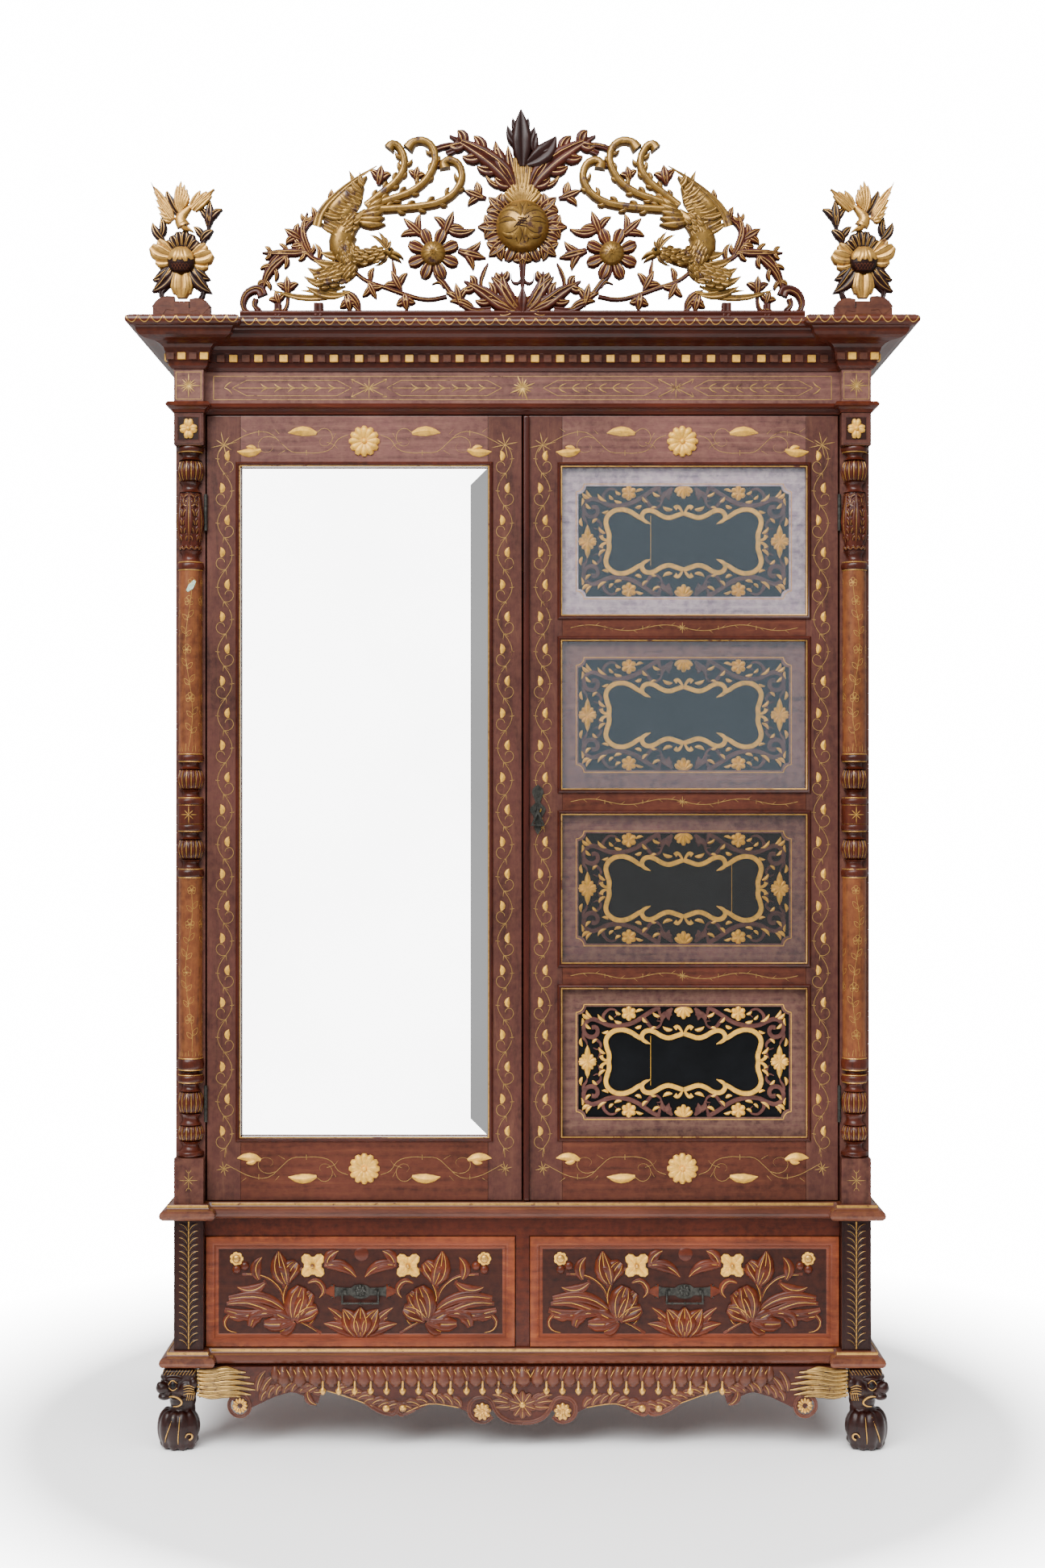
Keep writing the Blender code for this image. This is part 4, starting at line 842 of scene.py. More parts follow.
def makeCrest():
    low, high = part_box("crest")
    origin = (0, high.y - crest["thickness"], low.z)
    stems, leaves = crestVines()
    cx, cz = crest["ballAt"]
    petals = []
    for turn in (0, 41, 139, 180, 221, 270, 319):
        root = stepped((cx, cz), math.radians(turn), 40)
        petals += trefoil(root, stepped((cx, cz), math.radians(turn), 86 if turn != 270 else 76), 12.5, 44)
    for turn in (20, 160, 62, 118, 200, 340, 245, 295):
        petals.append(leaflet(stepped((cx, cz), math.radians(turn), 40),
            stepped((cx, cz), math.radians(turn), 72), 11, 0, -0.6, "petal"))
    petals += blossom(crest["flowerAt"], 16, 51, 8, 11.5, 22.5, 0.5)
    foot = drawn(([(0, 14), (0, 40), (0, 70)], 11, "leaf", 2),
        ([(0, 60), (0, 92), (0, 124)], 6.5, "curl"))
    foot += drawn(([(0, 84), (10, 74), (20, 78), (21, 92)], 2.6, "taper"),
        ([(0, 84), (-10, 74), (-20, 78), (-21, 92)], 2.6, "taper"))
    half = stems + leaves
    both = flipped(half) + half
    flowers = petals + [i for i in flipped(petals) if i["points"][0][0] < -60]
    brown = both + flowers + foot
    wood = carve("crestVines", brown, "hollow", "crestWood", origin, crest["thickness"])
    lines = veins(flipped(leaves) + leaves, "hollow", 0.8, (-0.35, 0.35), 3, 0.25)
    lines += veins(flowers, "hollow", 0.75, (-0.62, 0, 0.62), 3, 0.25)
    lines += veins([i for i in flipped(stems) + stems if i["widths"][0] < 6], "hollow", 0.6, (0.3,), 2, 0.2)
    gold = carve("crestGoldLines", lines, "vein", "gilt", origin, fineness=2)

    body, plumage, wing, tail = crestBird()
    solid = flipped(body + tail) + body + tail
    birdBack = carve("crestBirds", solid, "round", "crestGilt", origin, crest["thickness"])
    top = flipped(plumage + wing) + plumage + wing
    birdFront = carve("crestFeathers", top, "hollow", "crestGilt", origin)
    barbs = veins(top + flipped(tail) + tail, "hollow", 0.55, (-0.5, 0.5), 2.6, 0.1)
    barbs += veins(flipped(tail) + tail, "round", 0.6, (0,), 3, 0.1)
    dark = carve("crestBarbs", barbs, "vein", "darkCarved", origin, fineness=2)
    eyes = [knob(f"crestEye{s}", (s * 254 * mm, origin[1] - 0.011, origin[2] + 0.135), (0.0032,) * 3, 10,
        6) for s in (-1, 1)]
    eyes = dress(joined("crestEyes", eyes), "black")

    crown = fan([(-7, 222), (7, 222)], [(-34, 246), (-18, 262), (0, 266), (18, 262), (34, 246)], 9, 9, 0,
        "petal", 3)
    crown += [stroke([(x * 0.6, 254), (x, 284), (x * 1.15, 312)], 4.6, "stem", 4) for x in (-12, -4, 4, 12)]
    crownGold = carve("crestCrown", crown, "hollow", "crestGilt", origin, crest["thickness"])
    spray = crestTopSpray()
    topLeaf = carve("crestTopLeaf", spray, "hollow", "darkCarved", origin, crest["thickness"])

    balls = [knob("crestBall", (0, origin[1], origin[2] + cz * mm), (0.051, 0.036, 0.051), 40, 24)]
    for side in (-1, 1):
        fx, fz = crest["flowerAt"]
        balls.append(knob(f"crestButton{side}", (side * fx * mm, origin[1], origin[2] + fz * mm),
            (0.024, 0.018, 0.024), 24, 14))
    ball = dress(joined("crestBalls", balls, 60), "crestGilt")
    ballRise = dome(0, cz * mm, 0.051, 0.70)
    swirls = []
    for side in (-1, 1):
        for reach, bend in ((9, 0.02), (22, 0.12), (34, 0.22), (44, 0.32)):
            swirls.append(leaflet((side * 3, cz + 12), (side * reach, cz + 46 - reach * 0.55), 5.5,
                side * bend, -0.4, "swell"))
            swirls.append(leaflet((side * reach * 0.9, cz - 44 + reach * 0.62), (side * 6, cz - 9), 5.5,
                side * bend, -0.4, "swell"))
        swirls.append(leaflet((side * 12, cz + 2), (side * 47, cz + 2), 5, side * 0.14, -0.4, "swell"))
    swirlLines = carve("crestBallLeaves", swirls, "ridge", "crestGilt", origin, 0, ballRise, 5)
    # painted shade: dark lines along both edges of each raised leaf, where it meets the ball
    edges = carve("crestBallEdges", veins(swirls, "ridge", 0.75, (-1, 1), 2, 0.6), "vein",
        "darkCarved", origin, 0, ballRise, 5)
    hatch = [stroke([(x - 9, cz - 7 + x * 0.4), (x + 5, cz + 9 + x * 0.4)], 1, "stem", 0.6)
        for x in (-7, -2, 3, 8)]
    hatch += [stroke([(-9, cz - 6 + k * 5), (9, cz - 9 + k * 5)], 1, "stem", 0.6) for k in range(4)]
    rough = carve("crestBallHeart", hatch, "ridge", "darkCarved", origin, 0, ballRise, 2)
    buttonLines = []
    for side in (-1, 1):
        fx, fz = side * crest["flowerAt"][0], crest["flowerAt"][1]
        ribs = blossom((fx, fz), 7, 22, 12, 1, 0, 0.1, "swell")
        ribs += blossom((fx, fz), 1, 6.5, 6, 2, 0, 1.6)
        buttonLines.append(carve(f"crestButtonLines{side}", ribs, "ridge", "crestGilt", origin, 0,
            dome(fx * mm, fz * mm, 0.024, 0.75), 2))
    buttons = joined("crestButtonRibs", buttonLines, 50)

    for piece in (wood, gold, birdBack, birdFront, dark, eyes, crownGold, topLeaf, ball, swirlLines, edges,
            rough, buttons):
        place(piece, "carcass")
    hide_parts("crest")


makeCrest()


# finials: a small bird over a ball flower; measures are millimetres from the middle of the foot
print("finials")


def finialParts():
    mound = drawn(
        ([(-55, 12), (0, 12), (55, 12)], 12, "stem"),
        ([(-46, 16), (-34, 30), (-14, 30)], 15, "stem"),
        ([(46, 16), (34, 28), (16, 26)], 14, "stem"),
        ([(-14, 22), (0, 22), (14, 22)], 14),
    )
    stems = drawn(
        ([(-34, 38), (-40, 52), (-30, 64), (-22, 82)], 4.5),
        ([(34, 38), (40, 52), (32, 66), (24, 84)], 4.5),
        ([(26, 128), (44, 156), (52, 186), (48, 214)], 4.5, "taper"),
        ([(-26, 128), (-42, 150), (-46, 172)], 4.5, "taper"),
    )
    leaves = fan([(-14, 134), (0, 140), (14, 134)],
        [(-30, 150), (-14, 166), (4, 172), (20, 164), (30, 152)], 6, 10.5, 0, "petal")
    leaves += leaflets(((-14, 112), (-57, 54), 15, 0.12), ((-18, 104), (-56, 76), 12, 0.10))
    leaves += leaflets(((14, 112), (57, 52), 15, -0.12), ((18, 104), (54, 78), 12, -0.10))
    leaves += leaflets(((-34, 152), (-56, 186), 9, 0.1), ((-40, 158), (-40, 196), 7.5, -0.1))
    leaves += leaflets(((36, 150), (60, 172), 9, 0.1), ((40, 156), (22, 178), 8, -0.1))
    leaves += trefoil((50, 176), (54, 228), 9.5, 40)
    leaves += [leaflet((-6, 200), (-30, 250), 10, 0.06, -1)]
    petals = leaflets(
        ((0, 108), (0, 42), 19, 0, 2, "petal"), ((-8, 98), (-13, 50), 10, 0, 2.8, "petal"),
        ((8, 98), (13, 50), 10, 0, 2.8, "petal"),
        ((-16, 122), (-58, 140), 16, 0.10, 2, "petal"),
        ((-18, 112), (-50, 112), 12, 0.05, 1.6, "petal"),
        ((-18, 126), (-44, 152), 11, 0.05, 1.4, "petal"),
        ((16, 118), (58, 128), 16, -0.10, 2, "petal"),
        ((18, 110), (50, 104), 12, -0.05, 1.6, "petal"),
        ((18, 122), (46, 144), 11, -0.05, 1.4, "petal"),
    )
    bird = drawn(
        ([(4, 178), (-2, 192), (8, 206), (24, 222)], 13, "taper", 4),
        ([(2, 184), (6, 176), (14, 170)], 9.5, "taper", 7),
        ([(12, 174), (24, 166)], 3.2, "taper", 9),
    )
    feathers = fan([(-4, 204), (6, 214)], [(-8, 256), (0, 264), (10, 252), (14, 238)], 5, 6, 0.05, "leaf",
        6, 0.7)
    feathers += fan([(-14, 192), (-20, 186)], [(-56, 256), (-50, 230), (-44, 204), (-34, 190)], 6, 6.2,
        -0.04, "leaf", 6, 0.7)
    feathers += fan([(16, 212), (26, 206)], [(36, 246), (52, 244), (62, 246), (58, 236)], 4, 6, 0.02,
        "leaf", 6, 0.7)
    feathers += drawn(([(-18, 190), (-40, 222), (-57, 260)], 4, "taper", 10),
        ([(20, 210), (42, 232), (63, 248)], 4, "taper", 10))
    return mound, stems, leaves, petals, bird, feathers


def makeFinial(side, sign):
    low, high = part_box(f"finial_{side}")
    origin = ((low.x + high.x) / 2, high.y - 0.014, low.z)
    turn = lambda strokes: flipped(strokes, sign * -1)
    mound, stems, leaves, petals, bird, feathers = finialParts()
    brown = carve(f"finialLeaves_{side}", turn(stems + leaves), "hollow", "darkCarved", origin,
        0.014)
    base = carve(f"finialMound_{side}", turn(mound), "flat", "carved", origin, 0.014)
    lines = veins(turn(leaves), "hollow", 0.8, (-0.35, 0.35), 5, 0.2)
    gold = carve(f"finialGold_{side}", turn(petals), "hollow", "gilt", origin, 0.012)
    bodyGold = carve(f"finialBird_{side}", turn(bird), "round", "gilt", origin, 0.004)
    wings = carve(f"finialWings_{side}", turn(feathers), "hollow", "gilt", origin, 0.003)
    threads = carve(f"finialThreads_{side}", lines, "vein", "gilt", origin, fineness=2)
    barbs = veins(turn(petals), "hollow", 0.6, (-0.5, 0, 0.5), 5, 0.1) + veins(turn(feathers), "hollow",
        0.45, (0,), 3, 0.1)
    dark = carve(f"finialBarbs_{side}", barbs, "vein", "darkCarved", origin, fineness=2)
    ball = knob(f"finialBall_{side}", (origin[0], origin[1] - 0.004, origin[2] + 0.112),
        (0.027, 0.018, 0.027), 28, 16)
    dress(ball, "darkCarved")
    rise = dome(0, 0.112, 0.027, 0.68)
    lappets = fan([(-7, 138), (7, 138)], [(-22, 112), (-8, 106), (0, 110), (8, 106), (22, 112)], 5, 6.5, 0,
        "petal", 4.2)
    caps = carve(f"finialLappets_{side}", turn(lappets), "hollow", "gilt", origin, 0, rise, 4)
    hatch = [stroke([(x - 6, 92), (x + 2, 104)], 0.7, "stem", 4.3) for x in range(-14, 18, 6)]
    hatch += [stroke([(x + 6, 92), (x - 2, 104)], 0.7, "stem", 4.3) for x in range(-16, 16, 6)]
    net = carve(f"finialNet_{side}", hatch, "vein", "carved", origin, 0, rise, 2)
    eye = knob(f"finialEye_{side}", (origin[0] - sign * 0.009, origin[1] - 0.0155, origin[2] + 0.177),
        (0.0018,) * 3, 8, 6)
    dress(eye, "black")
    for piece in (brown, base, gold, bodyGold, wings, threads, dark, ball, caps, net, eye):
        place(piece, "carcass")
    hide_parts(f"finial_{side}")


makeFinial("left", -1)
makeFinial("right", 1)


# doors: stiles and rails with engraved vines, gilt leaves and beaded sight edges
print("doors")
door = {
    "lip": 0.009,          # wood in front of the rebate
    "rebate": 0.0083,
    "ease": 0.0012,
    "curlPitch": 62,     # between curls on opposite sides of a stile
    "sway": 15,
    "stileWide": 0.065,
    "lowRail": 0.1225,
    "topRail": 0.098,
    "starZ": 1.927,        # stars where the top rail meets the stiles
    "rosette": 29.5,
    "beadWide": 0.012,     # the bead where the doors meet
    "beadProud": 0.0075,
    "bevel": 33,           # ground edge of the mirror inside its rebate
    "lineWidth": 0.62,
    "bead": [(0, -0.5), (0, 1.2), (1.2, 3.4), (3.6, 4.6), (6, 3.6), (7.2, 1.4), (8, 1), (9.5, 0.4),
        (9.5, -0.5)],
    "slip": [(0, -6), (0, 0.9), (1.4, 1.5), (3, 0.9), (3, -6)],
}


def framedBoard(name, x0, z0, x1, z1, yFront, yBack, cuts, look):
    # a stile or rail: full size at the lip, cut back behind it where a pane sits
    # cuts are left, low, right, high
    left, low, right, high = (door["rebate"] if cut else 0 for cut in cuts)
    lipY = yFront + door["lip"]
    front = block(name + "Front", (x0, yFront, z0), (x1, lipY, z1), door["ease"])
    back = block(name + "Back", (x0 + left, lipY - 0.002, z0 + low), (x1 - right, yBack, z1 - high))
    return dress(joined(name, [front, back], 0), look)


def stileVine(length, start):
    # the engraved vine of a stile, with a curl every pitch on alternate sides
    pitch, sway = door["curlPitch"], door["sway"]
    count = int(length / pitch)
    first = (length - (count - 1) * pitch) / 2
    main, lines, buds = [(0, 4)], [], []
    for k in range(count):
        z, s = first + k * pitch, start * (-1) ** k
        main += [(-s * 2, z - 11.6), (-s * 9.5, z), (-s * (sway - 1), z + 16), (-s * 9, z + 34)]
        spiral = [(-2, -11.6), (4, -12.6), (11, -10), (16, -3.5), (16, 3.5), (11, 9.5), (5, 9), (1, 5),
            (0.5, 2)]
        lines.append(stroke([(s * a, z + b) for a, b in spiral], door["lineWidth"], "stem"))
        lines.append(stroke([(-s * (sway + 3), z + 16), (-s * (sway - 5), z + 15)], door["lineWidth"]))
        lines.append(stroke([(0, z - 13), (s * 9, z - 19)], door["lineWidth"], "taper"))
        lines.append(stroke([(-s * 2, z - 12), (-s * 3.5, z - 23)], door["lineWidth"] * 1.8, "taper"))
        buds.append(leaflet((s * 7, z + 12), (s * 8, z + 31), 5.2, s * 0.16))
    main.append((0, max(length - 4, first + (count - 1) * pitch + 44)))
    lines.append(stroke(main, door["lineWidth"]))
    return lines, buds


def star(x, z, size, turn=0, rays=8, width=1.1):
    parts = []
    for i in range(rays):
        reach = size if i % 2 == 0 else size * 0.7
        parts += [leaflet((x, z), stepped((x, z), math.radians(turn + 360 * i / rays), reach), width, 0, 0,
            "leaf")]
    return parts


def railVine(halfWidth):
    # the engraved wave from the middle rosette to a corner star, with raised gilt leaves; the left half
    w = door["lineWidth"]
    k = halfWidth / 244
    at = lambda *points: [(-x * k, z) for x, z in points]
    lines = drawn(
        (at((29, 12), (46, 4), (58, -14), (80, -22), (104, -22), (128, -20), (146, -4), (170, 17),
            (200, 15), (226, 2), (244, -9)), w),
        (at((86, 15), (70, 25), (57, 13), (60, -4), (72, -9), (79, -1), (75, 6)), w, "taper"),
        (at((156, 6), (172, 9), (186, -2), (184, -16), (170, -21), (161, -12), (166, -4)), w,
            "taper"),
        (at((50, 16), (56, 4)), w, "taper"), (at((66, -2), (52, -8), (46, -16)), w, "taper"),
        (at((102, -17), (102, -27)), w), (at((140, -18), (152, -26)), w, "taper"),
        (at((150, 14), (158, 24)), w, "taper"), (at((186, 21), (186, 11)), w),
        (at((208, 18), (218, 26)), w, "taper"),
        (at((118, 26), (106, 22)), w, "taper"),
    )
    leaves = [leaflet(*at((84, 15), (134, 16)), 9.5, -0.07),
        leaflet(*at((92, 17), (116, 25)), 6.5, 0.10, 0.4),
              leaflet(*at((182, -17), (224, -20)), 8.5, 0.08),
              leaflet(*at((190, -18), (208, -11)), 5.5, -0.10, 0.4)]
    return lines, leaves


def railFlower(name, centre, y, radius):
    # a raised gilt rosette with painted shade lines in the creases between its petals, small dark dots on
    # the petals, and a small knob
    x, z = centre
    origin = (x, y, z)
    petals = 12
    flower = carve(name, blossom((0, 0), radius * 0.12, radius, petals, radius * 0.27, 90), "round",
        "brightGilt", origin, fineness=3)
    disc = dress(rod((x, y, z), radius * 0.86 * mm, 0.004, 28, (math.pi / 2, 0, 0)), "brightGilt")
    lines, dots = [], []
    for i in range(petals):
        angle = math.radians(90 + i * 360 / petals)
        between = math.radians(90 + (i + 0.5) * 360 / petals)
        ends = [stepped((0, 0), between, radius * share) for share in (0.3, 0.92)]
        lines.append(leaflet(*ends, 0.7, 0, 2.2, "swell"))
        dots.append(stroke([stepped((0, 0), angle, radius * share) for share in (0.72, 0.78)], 0.8, "stem",
            3.6))
    # painted shade: dark lines in the creases between the petals, with small dark dots on the petals
    dark = carve(name + "Lines", lines + dots, "vein", "carved", origin, fineness=2)
    heart = dress(knob(name + "Heart", (x, y - 0.004, z), (radius * 0.17 * mm, 0.004, radius * 0.17 * mm),
        14, 8), "brightGilt")
    return [flower, disc, heart], dark


def sightEdge(name, x0, z0, x1, z1, y):
    # a dark bead round the opening with a thin gilt slip inside it
    b = 0.0095
    bead = moulding(name + "Bead", x0 - b, z0 - b, x1 + b, z1 + b, y, door["bead"], "bead")
    slip = moulding(name + "Slip", x0, z0, x1, z1, y, [(i - 3.2, f) for i, f in door["slip"]],
        "gilt")
    return bead, slip


def makeDoor(body, frameNode, sights, outerStile, starAt):
    # sights are (x0, z0, x1, z1) openings from the bottom up, in metres
    low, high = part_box(frameNode)
    yFront, yBack = faceY, high.y
    x0, x1 = sights[0][0], sights[0][2]
    tag = "Left" if body == "left_door" else "Right"
    boards = [
        framedBoard(f"stile{tag}A", low.x, low.z, x0, high.z, yFront, yBack, (0, 0, 1, 0), "stile"),
        framedBoard(f"stile{tag}B", x1, low.z, high.x, high.z, yFront, yBack, (1, 0, 0, 0), "stile"),
    ]
    heights = [low.z] + [z for sight in sights for z in (sight[1], sight[3])] + [high.z]
    for i in range(0, len(heights), 2):
        below, above = i > 0, i < len(heights) - 2
        wood = "rail" if above else "highRail"
        boards.append(framedBoard(f"rail{tag}{i // 2}", x0, heights[i], x1, heights[i + 1], yFront, yBack,
            (0, below, 0, above), wood))
    for board in boards:
        place(board, body)
    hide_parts(frameNode)

    lines, gilt, flowers, rosetteShadeAndDots = [], [], [], []
    origin = (0, yFront, 0)
    toMm = 1000
    stiles = ((low.x + x0) / 2, (x1 + high.x) / 2)
    topZ, bottomZ = (sights[-1][3] + high.z) / 2, (low.z + sights[0][1]) / 2
    zLow, zHigh = bottomZ * toMm + 8, topZ * toMm - 6
    for number, x in enumerate(stiles):
        if number == outerStile:
            x += 0.002 if number == 0 else -0.002
        vine, buds = stileVine(zHigh - zLow - 20, 1 if number else -1)
        lines += shifted(vine, x * toMm, zLow + 10)
        gilt += shifted(buds, x * toMm, zLow + 10)
    middle = (stiles[0] + stiles[1]) / 2 * toMm
    half = (stiles[1] - stiles[0]) / 2 * toMm
    for z, up in ((topZ, 1), (bottomZ, -1)):
        vine, leaves = railVine(half - 4)
        for sign in (1, -1):
            lines += shifted(flipped(vine, sign, up), middle, z * toMm)
            gilt += shifted(flipped(leaves, sign, up), middle, z * toMm, 0.5)
        flower, dark = railFlower(f"rosette{tag}{up}", (middle * mm, z), yFront, door["rosette"])
        flowers += flower
        rosetteShadeAndDots.append(dark)
    for x in stiles:
        lines += star(x * toMm, starAt * toMm, 26, 12)
        lines += star(x * toMm, bottomZ * toMm, 15, 12)
    for i in range(len(sights) - 1):
        z = (sights[i][3] + sights[i + 1][1]) / 2 * toMm
        left, right = x0 * toMm + 16, x1 * toMm - 16
        wave = []
        for k in range(19):
            wave.append((left + (right - left) * k / 18, z + 5.5 * math.sin(k * math.pi / 3)))
        lines.append(stroke(wave, 0.7))
        lines += star(middle, z, 11, 0, 8, 0.9)
        for k in range(1, 18):
            x, h = wave[k]
            s = -1 if k % 2 else 1
            lines.append(stroke([(x, h), (x + 8, h + s * 6)], 0.65, "taper"))
            if k % 3 == 0:
                lines.append(stroke([(x - 7, h - 4), (x - 7, h + 4)], 0.6))
    engraved = carve(f"doorLines{tag}", lines, "vein", "oldGilt", origin, fineness=3)
    leaves = carve(f"doorLeaves{tag}", gilt, "ridge", "brightGilt", origin)
    flower = joined(f"doorRosettes{tag}", flowers, 45)
    dark = joined(f"doorRosetteLines{tag}", rosetteShadeAndDots, 45)
    for piece in (engraved, leaves, flower):
        place(piece, body)
    place(dark, body)
    for i, sight in enumerate(sights):
        bead, slip = sightEdge(f"sight{tag}{i}", *sight, yFront)
        place(bead, body)
        place(slip, body)
    # joint lines where the rails meet the stiles
    seams = []
    for z0, z1 in zip(heights[::2], heights[1::2]):
        for x in (x0, x1):
            seams.append(block("seam", (x - 0.0002, yFront - 0.00012, z0 + 0.002),
                (x + 0.0002, yFront + 0.0006, z1 - 0.002)))
    place(dress(joined(f"doorSeams{tag}", seams, 0), "darkCarved"), body)


def makeMeetingBead():
    # the half-round bead on the right door where the two doors meet
    low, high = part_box("right_door_frame")
    bead = block("meetingBead", (low.x, faceY - door["beadProud"], low.z),
        (low.x + door["beadWide"], faceY + 0.004, high.z),
        0.0045, 4)
    pick(bead)
    bpy.ops.object.shade_smooth_by_angle(angle=math.radians(50))
    place(dress(bead, "bead"), "right_door")


grow = door["rebate"] - 0.0005
leftSight = (doorLow.x + door["stileWide"], doorLow.z + door["lowRail"],
             doorHigh.x - door["stileWide"], doorHigh.z - door["topRail"])
panelSights = []
for number in (4, 3, 2, 1):
    fretLow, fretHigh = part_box(f"fret_panel_{number}")
    panelSights.append((fretLow.x + grow, fretLow.z + grow, fretHigh.x - grow, fretHigh.z - grow))
panelSights.sort(key=lambda sight: sight[1])
makeDoor("left_door", "left_door_frame", [leftSight], 0, door["starZ"])
makeDoor("right_door", "right_door_frame", panelSights, 1, door["starZ"])
makeMeetingBead()


def makeMirrorGlass():
    # a silvered plate with a wide ground bevel all round
    low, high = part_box("mirror_plate")
    wide = door["bevel"] + door["rebate"] * 1000
    flat = block("mirrorFlat", (low.x + wide * mm - 0.0002, low.y, low.z + wide * mm - 0.0002),
        (high.x - wide * mm + 0.0002, high.y, high.z - wide * mm + 0.0002))
    border = moulding("mirrorBevel", low.x, low.z, high.x, high.z, low.y,
        [(0, -3.9), (0, -1.9), (wide, 0), (wide, -3.9)], "mirror")
    plate = joined("mirrorGlass", [flat, border], 1)
    place(dress(plate, "mirror"), "left_door")
    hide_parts("mirror_plate")


makeMirrorGlass()


# fret panels: a mauve board with a shaped field, and painted scrolls lying on the black board behind
print("fret panels")
fret = {
    "fieldX": 204, "fieldZ": 107, "notch": 15,
    "set": 0.0030,         # scroll plane behind the board's front
    "scrollDepth": 0.0022,
}


def fourWays(strokes):
    return strokes + flipped(strokes, -1, 1) + flipped(strokes, 1, -1) + flipped(strokes, -1, -1)


def fieldOutline(inset=0):
    # the field's edge with hollow quarter-round corners, in millimetres
    x, z, r = fret["fieldX"] - inset, fret["fieldZ"] - inset, fret["notch"]
    points = []
    for sx, sz, first in ((1, 1, 180), (-1, 1, 270), (-1, -1, 0), (1, -1, 90)):
        for i in range(7):
            angle = math.radians(first + 90 - 15 * i)
            points.append((sx * x + r * math.cos(angle), sz * z + r * math.sin(angle)))
    return points


def fretBoard(name, low, high, look):
    # outer rectangle and inner field as one filled flat curve, given thickness
    middle = (low + high) / 2
    curve = newCurve(name, "2D", fill_mode="BOTH", extrude=(high.y - low.y) / 2)
    polyline(curve, [(low.x, low.z), (high.x, low.z), (high.x, high.z), (low.x, high.z)])
    polyline(curve, [(middle.x + x * mm, middle.z + z * mm) for x, z in fieldOutline()])
    obj = added(name, curve)
    obj.rotation_euler = (math.pi / 2, 0, 0)
    obj.location = (0, middle.y, 0)
    bake(obj)
    weld(0.00001)
    return dress(obj, look)


def goldBand():
    # the rippling gilt band round the clear middle, one quarter
    upper = stroke([(0, 55), (-14, 50), (-29, 46), (-43, 50), (-57, 58), (-70, 60), (-79, 54), (-80, 45),
        (-73, 38), (-66, 35)], 4.6)
    upper["widths"][-3:] = [4.2, 3, 0.8]
    lower = stroke([(-64, 34), (-74, 40), (-88, 48), (-104, 58), (-123, 62), (-140, 56), (-150, 42),
        (-148, 26), (-144, 13), (-145, 0)], 4.8)
    lower["widths"][:3] = [0.8, 2.6, 4.4]
    curls = drawn(
        ([(-2, 56), (-6, 63), (-12, 68), (-17, 64)], 3.6, "curl"),
        ([(-146, 2), (-152, 3), (-158, 7), (-160, 12)], 3.4, "curl"),
    )
    return [upper, lower] + curls


def mauveScrolls():
    return drawn(
        ([(-46, 106), (-60, 99), (-77, 88), (-97, 76), (-122, 70), (-146, 71), (-164, 79),
            (-180, 82), (-192, 71), (-192, 57), (-181, 48), (-168, 53), (-169, 66), (-178, 66)], 4.4),
        ([(-150, 73), (-156, 84), (-150, 97), (-138, 102), (-128, 94), (-134, 86)], 3.8, "taper"),
        ([(-80, 88), (-70, 76), (-60, 66), (-48, 68), (-44, 77), (-52, 79)], 4, "taper"),
        ([(-192, 60), (-194, 48), (-188, 38), (-186, 28)], 3.8, "taper"),
        ([(-180, 48), (-168, 42), (-160, 32), (-166, 24), (-175, 27)], 3.6, "taper"),
        ([(-52, 106), (-46, 94), (-50, 82)], 4, "taper"),
        ([(-22, 104), (-30, 92), (-28, 80)], 8, "leaf"),
        ([(-24, 100), (-40, 88), (-42, 74)], 6, "leaf"),
        ([(-186, 84), (-190, 98)], 4, "taper"),
        ([(-160, 18), (-166, 6)], 3, "taper"),
    )


def smallGoldLeaves():
    marks = [
        ((-150, 78), (-166, 92), 3.6), ((-180, 64), (-190, 76), 3.2), ((-196, 30), (-198, 46), 3.4),
        ((-152, 16), (-164, 28), 3.4),
        ((-120, 76), (-134, 80), 3.4), ((-82, 70), (-94, 66), 3.6), ((-70, 76), (-80, 88), 3.2),
        ((-46, 88), (-60, 96), 3.2),
        ((-22, 62), (-40, 68), 3.8), ((-182, 84), (-196, 94), 4), ((-178, 86), (-188, 100), 3.2),
        ((-92, 96), (-78, 100), 3),
        ((-122, 92), (-132, 98), 3), ((-64, 62), (-52, 66), 3), ((-176, 36), (-166, 44), 3),
        ((-136, 82), (-144, 90), 3),
        ((-196, 84), (-198, 70), 2.8), ((-146, 60), (-158, 56), 2.8),
    ]
    return [leaflet(a, b, w, 0.15, 0.5, "leaf") for a, b, w in marks]


def fretFlowers():
    parts = []
    for sx in (-1, 1):
        for sz in (-1, 1):
            parts += blossom((sx * 106, sz * 94), 2, 14.5, 6, 5.2, 30, 0.6)
            parts += blossom((sx * 106, sz * 94), 0.5, 4.5, 5, 1.8, 0, 1.4)
        parts += blossom((sx * 186, 0), 3, 17, 10, 4, 18, 0.6)
        parts += [leaflet((sx * 186, 0), (sx * 186, z), 6, 0, 0.3, "leaf") for z in (-32, 32)]
        parts += leaflets(((sx * 186, 0), (sx * 205, 0), 4, 0, 0.3, "leaf"),
            ((sx * 186, 0), (sx * 168, 0), 4, 0, 0.3, "leaf"))
        parts += blossom((sx * 186, 0), 0.5, 5, 6, 2, 0, 1.4)
    for sz in (-1, 1):
        parts += [leaflet((0, sz * 107), (x, sz * z), w, 0, 0.4, "petal")
                  for x, z, w in ((-17, 96, 5), (17, 96, 5), (-11, 88, 5.5), (11, 88, 5.5), (0, 83, 6))]
    return parts


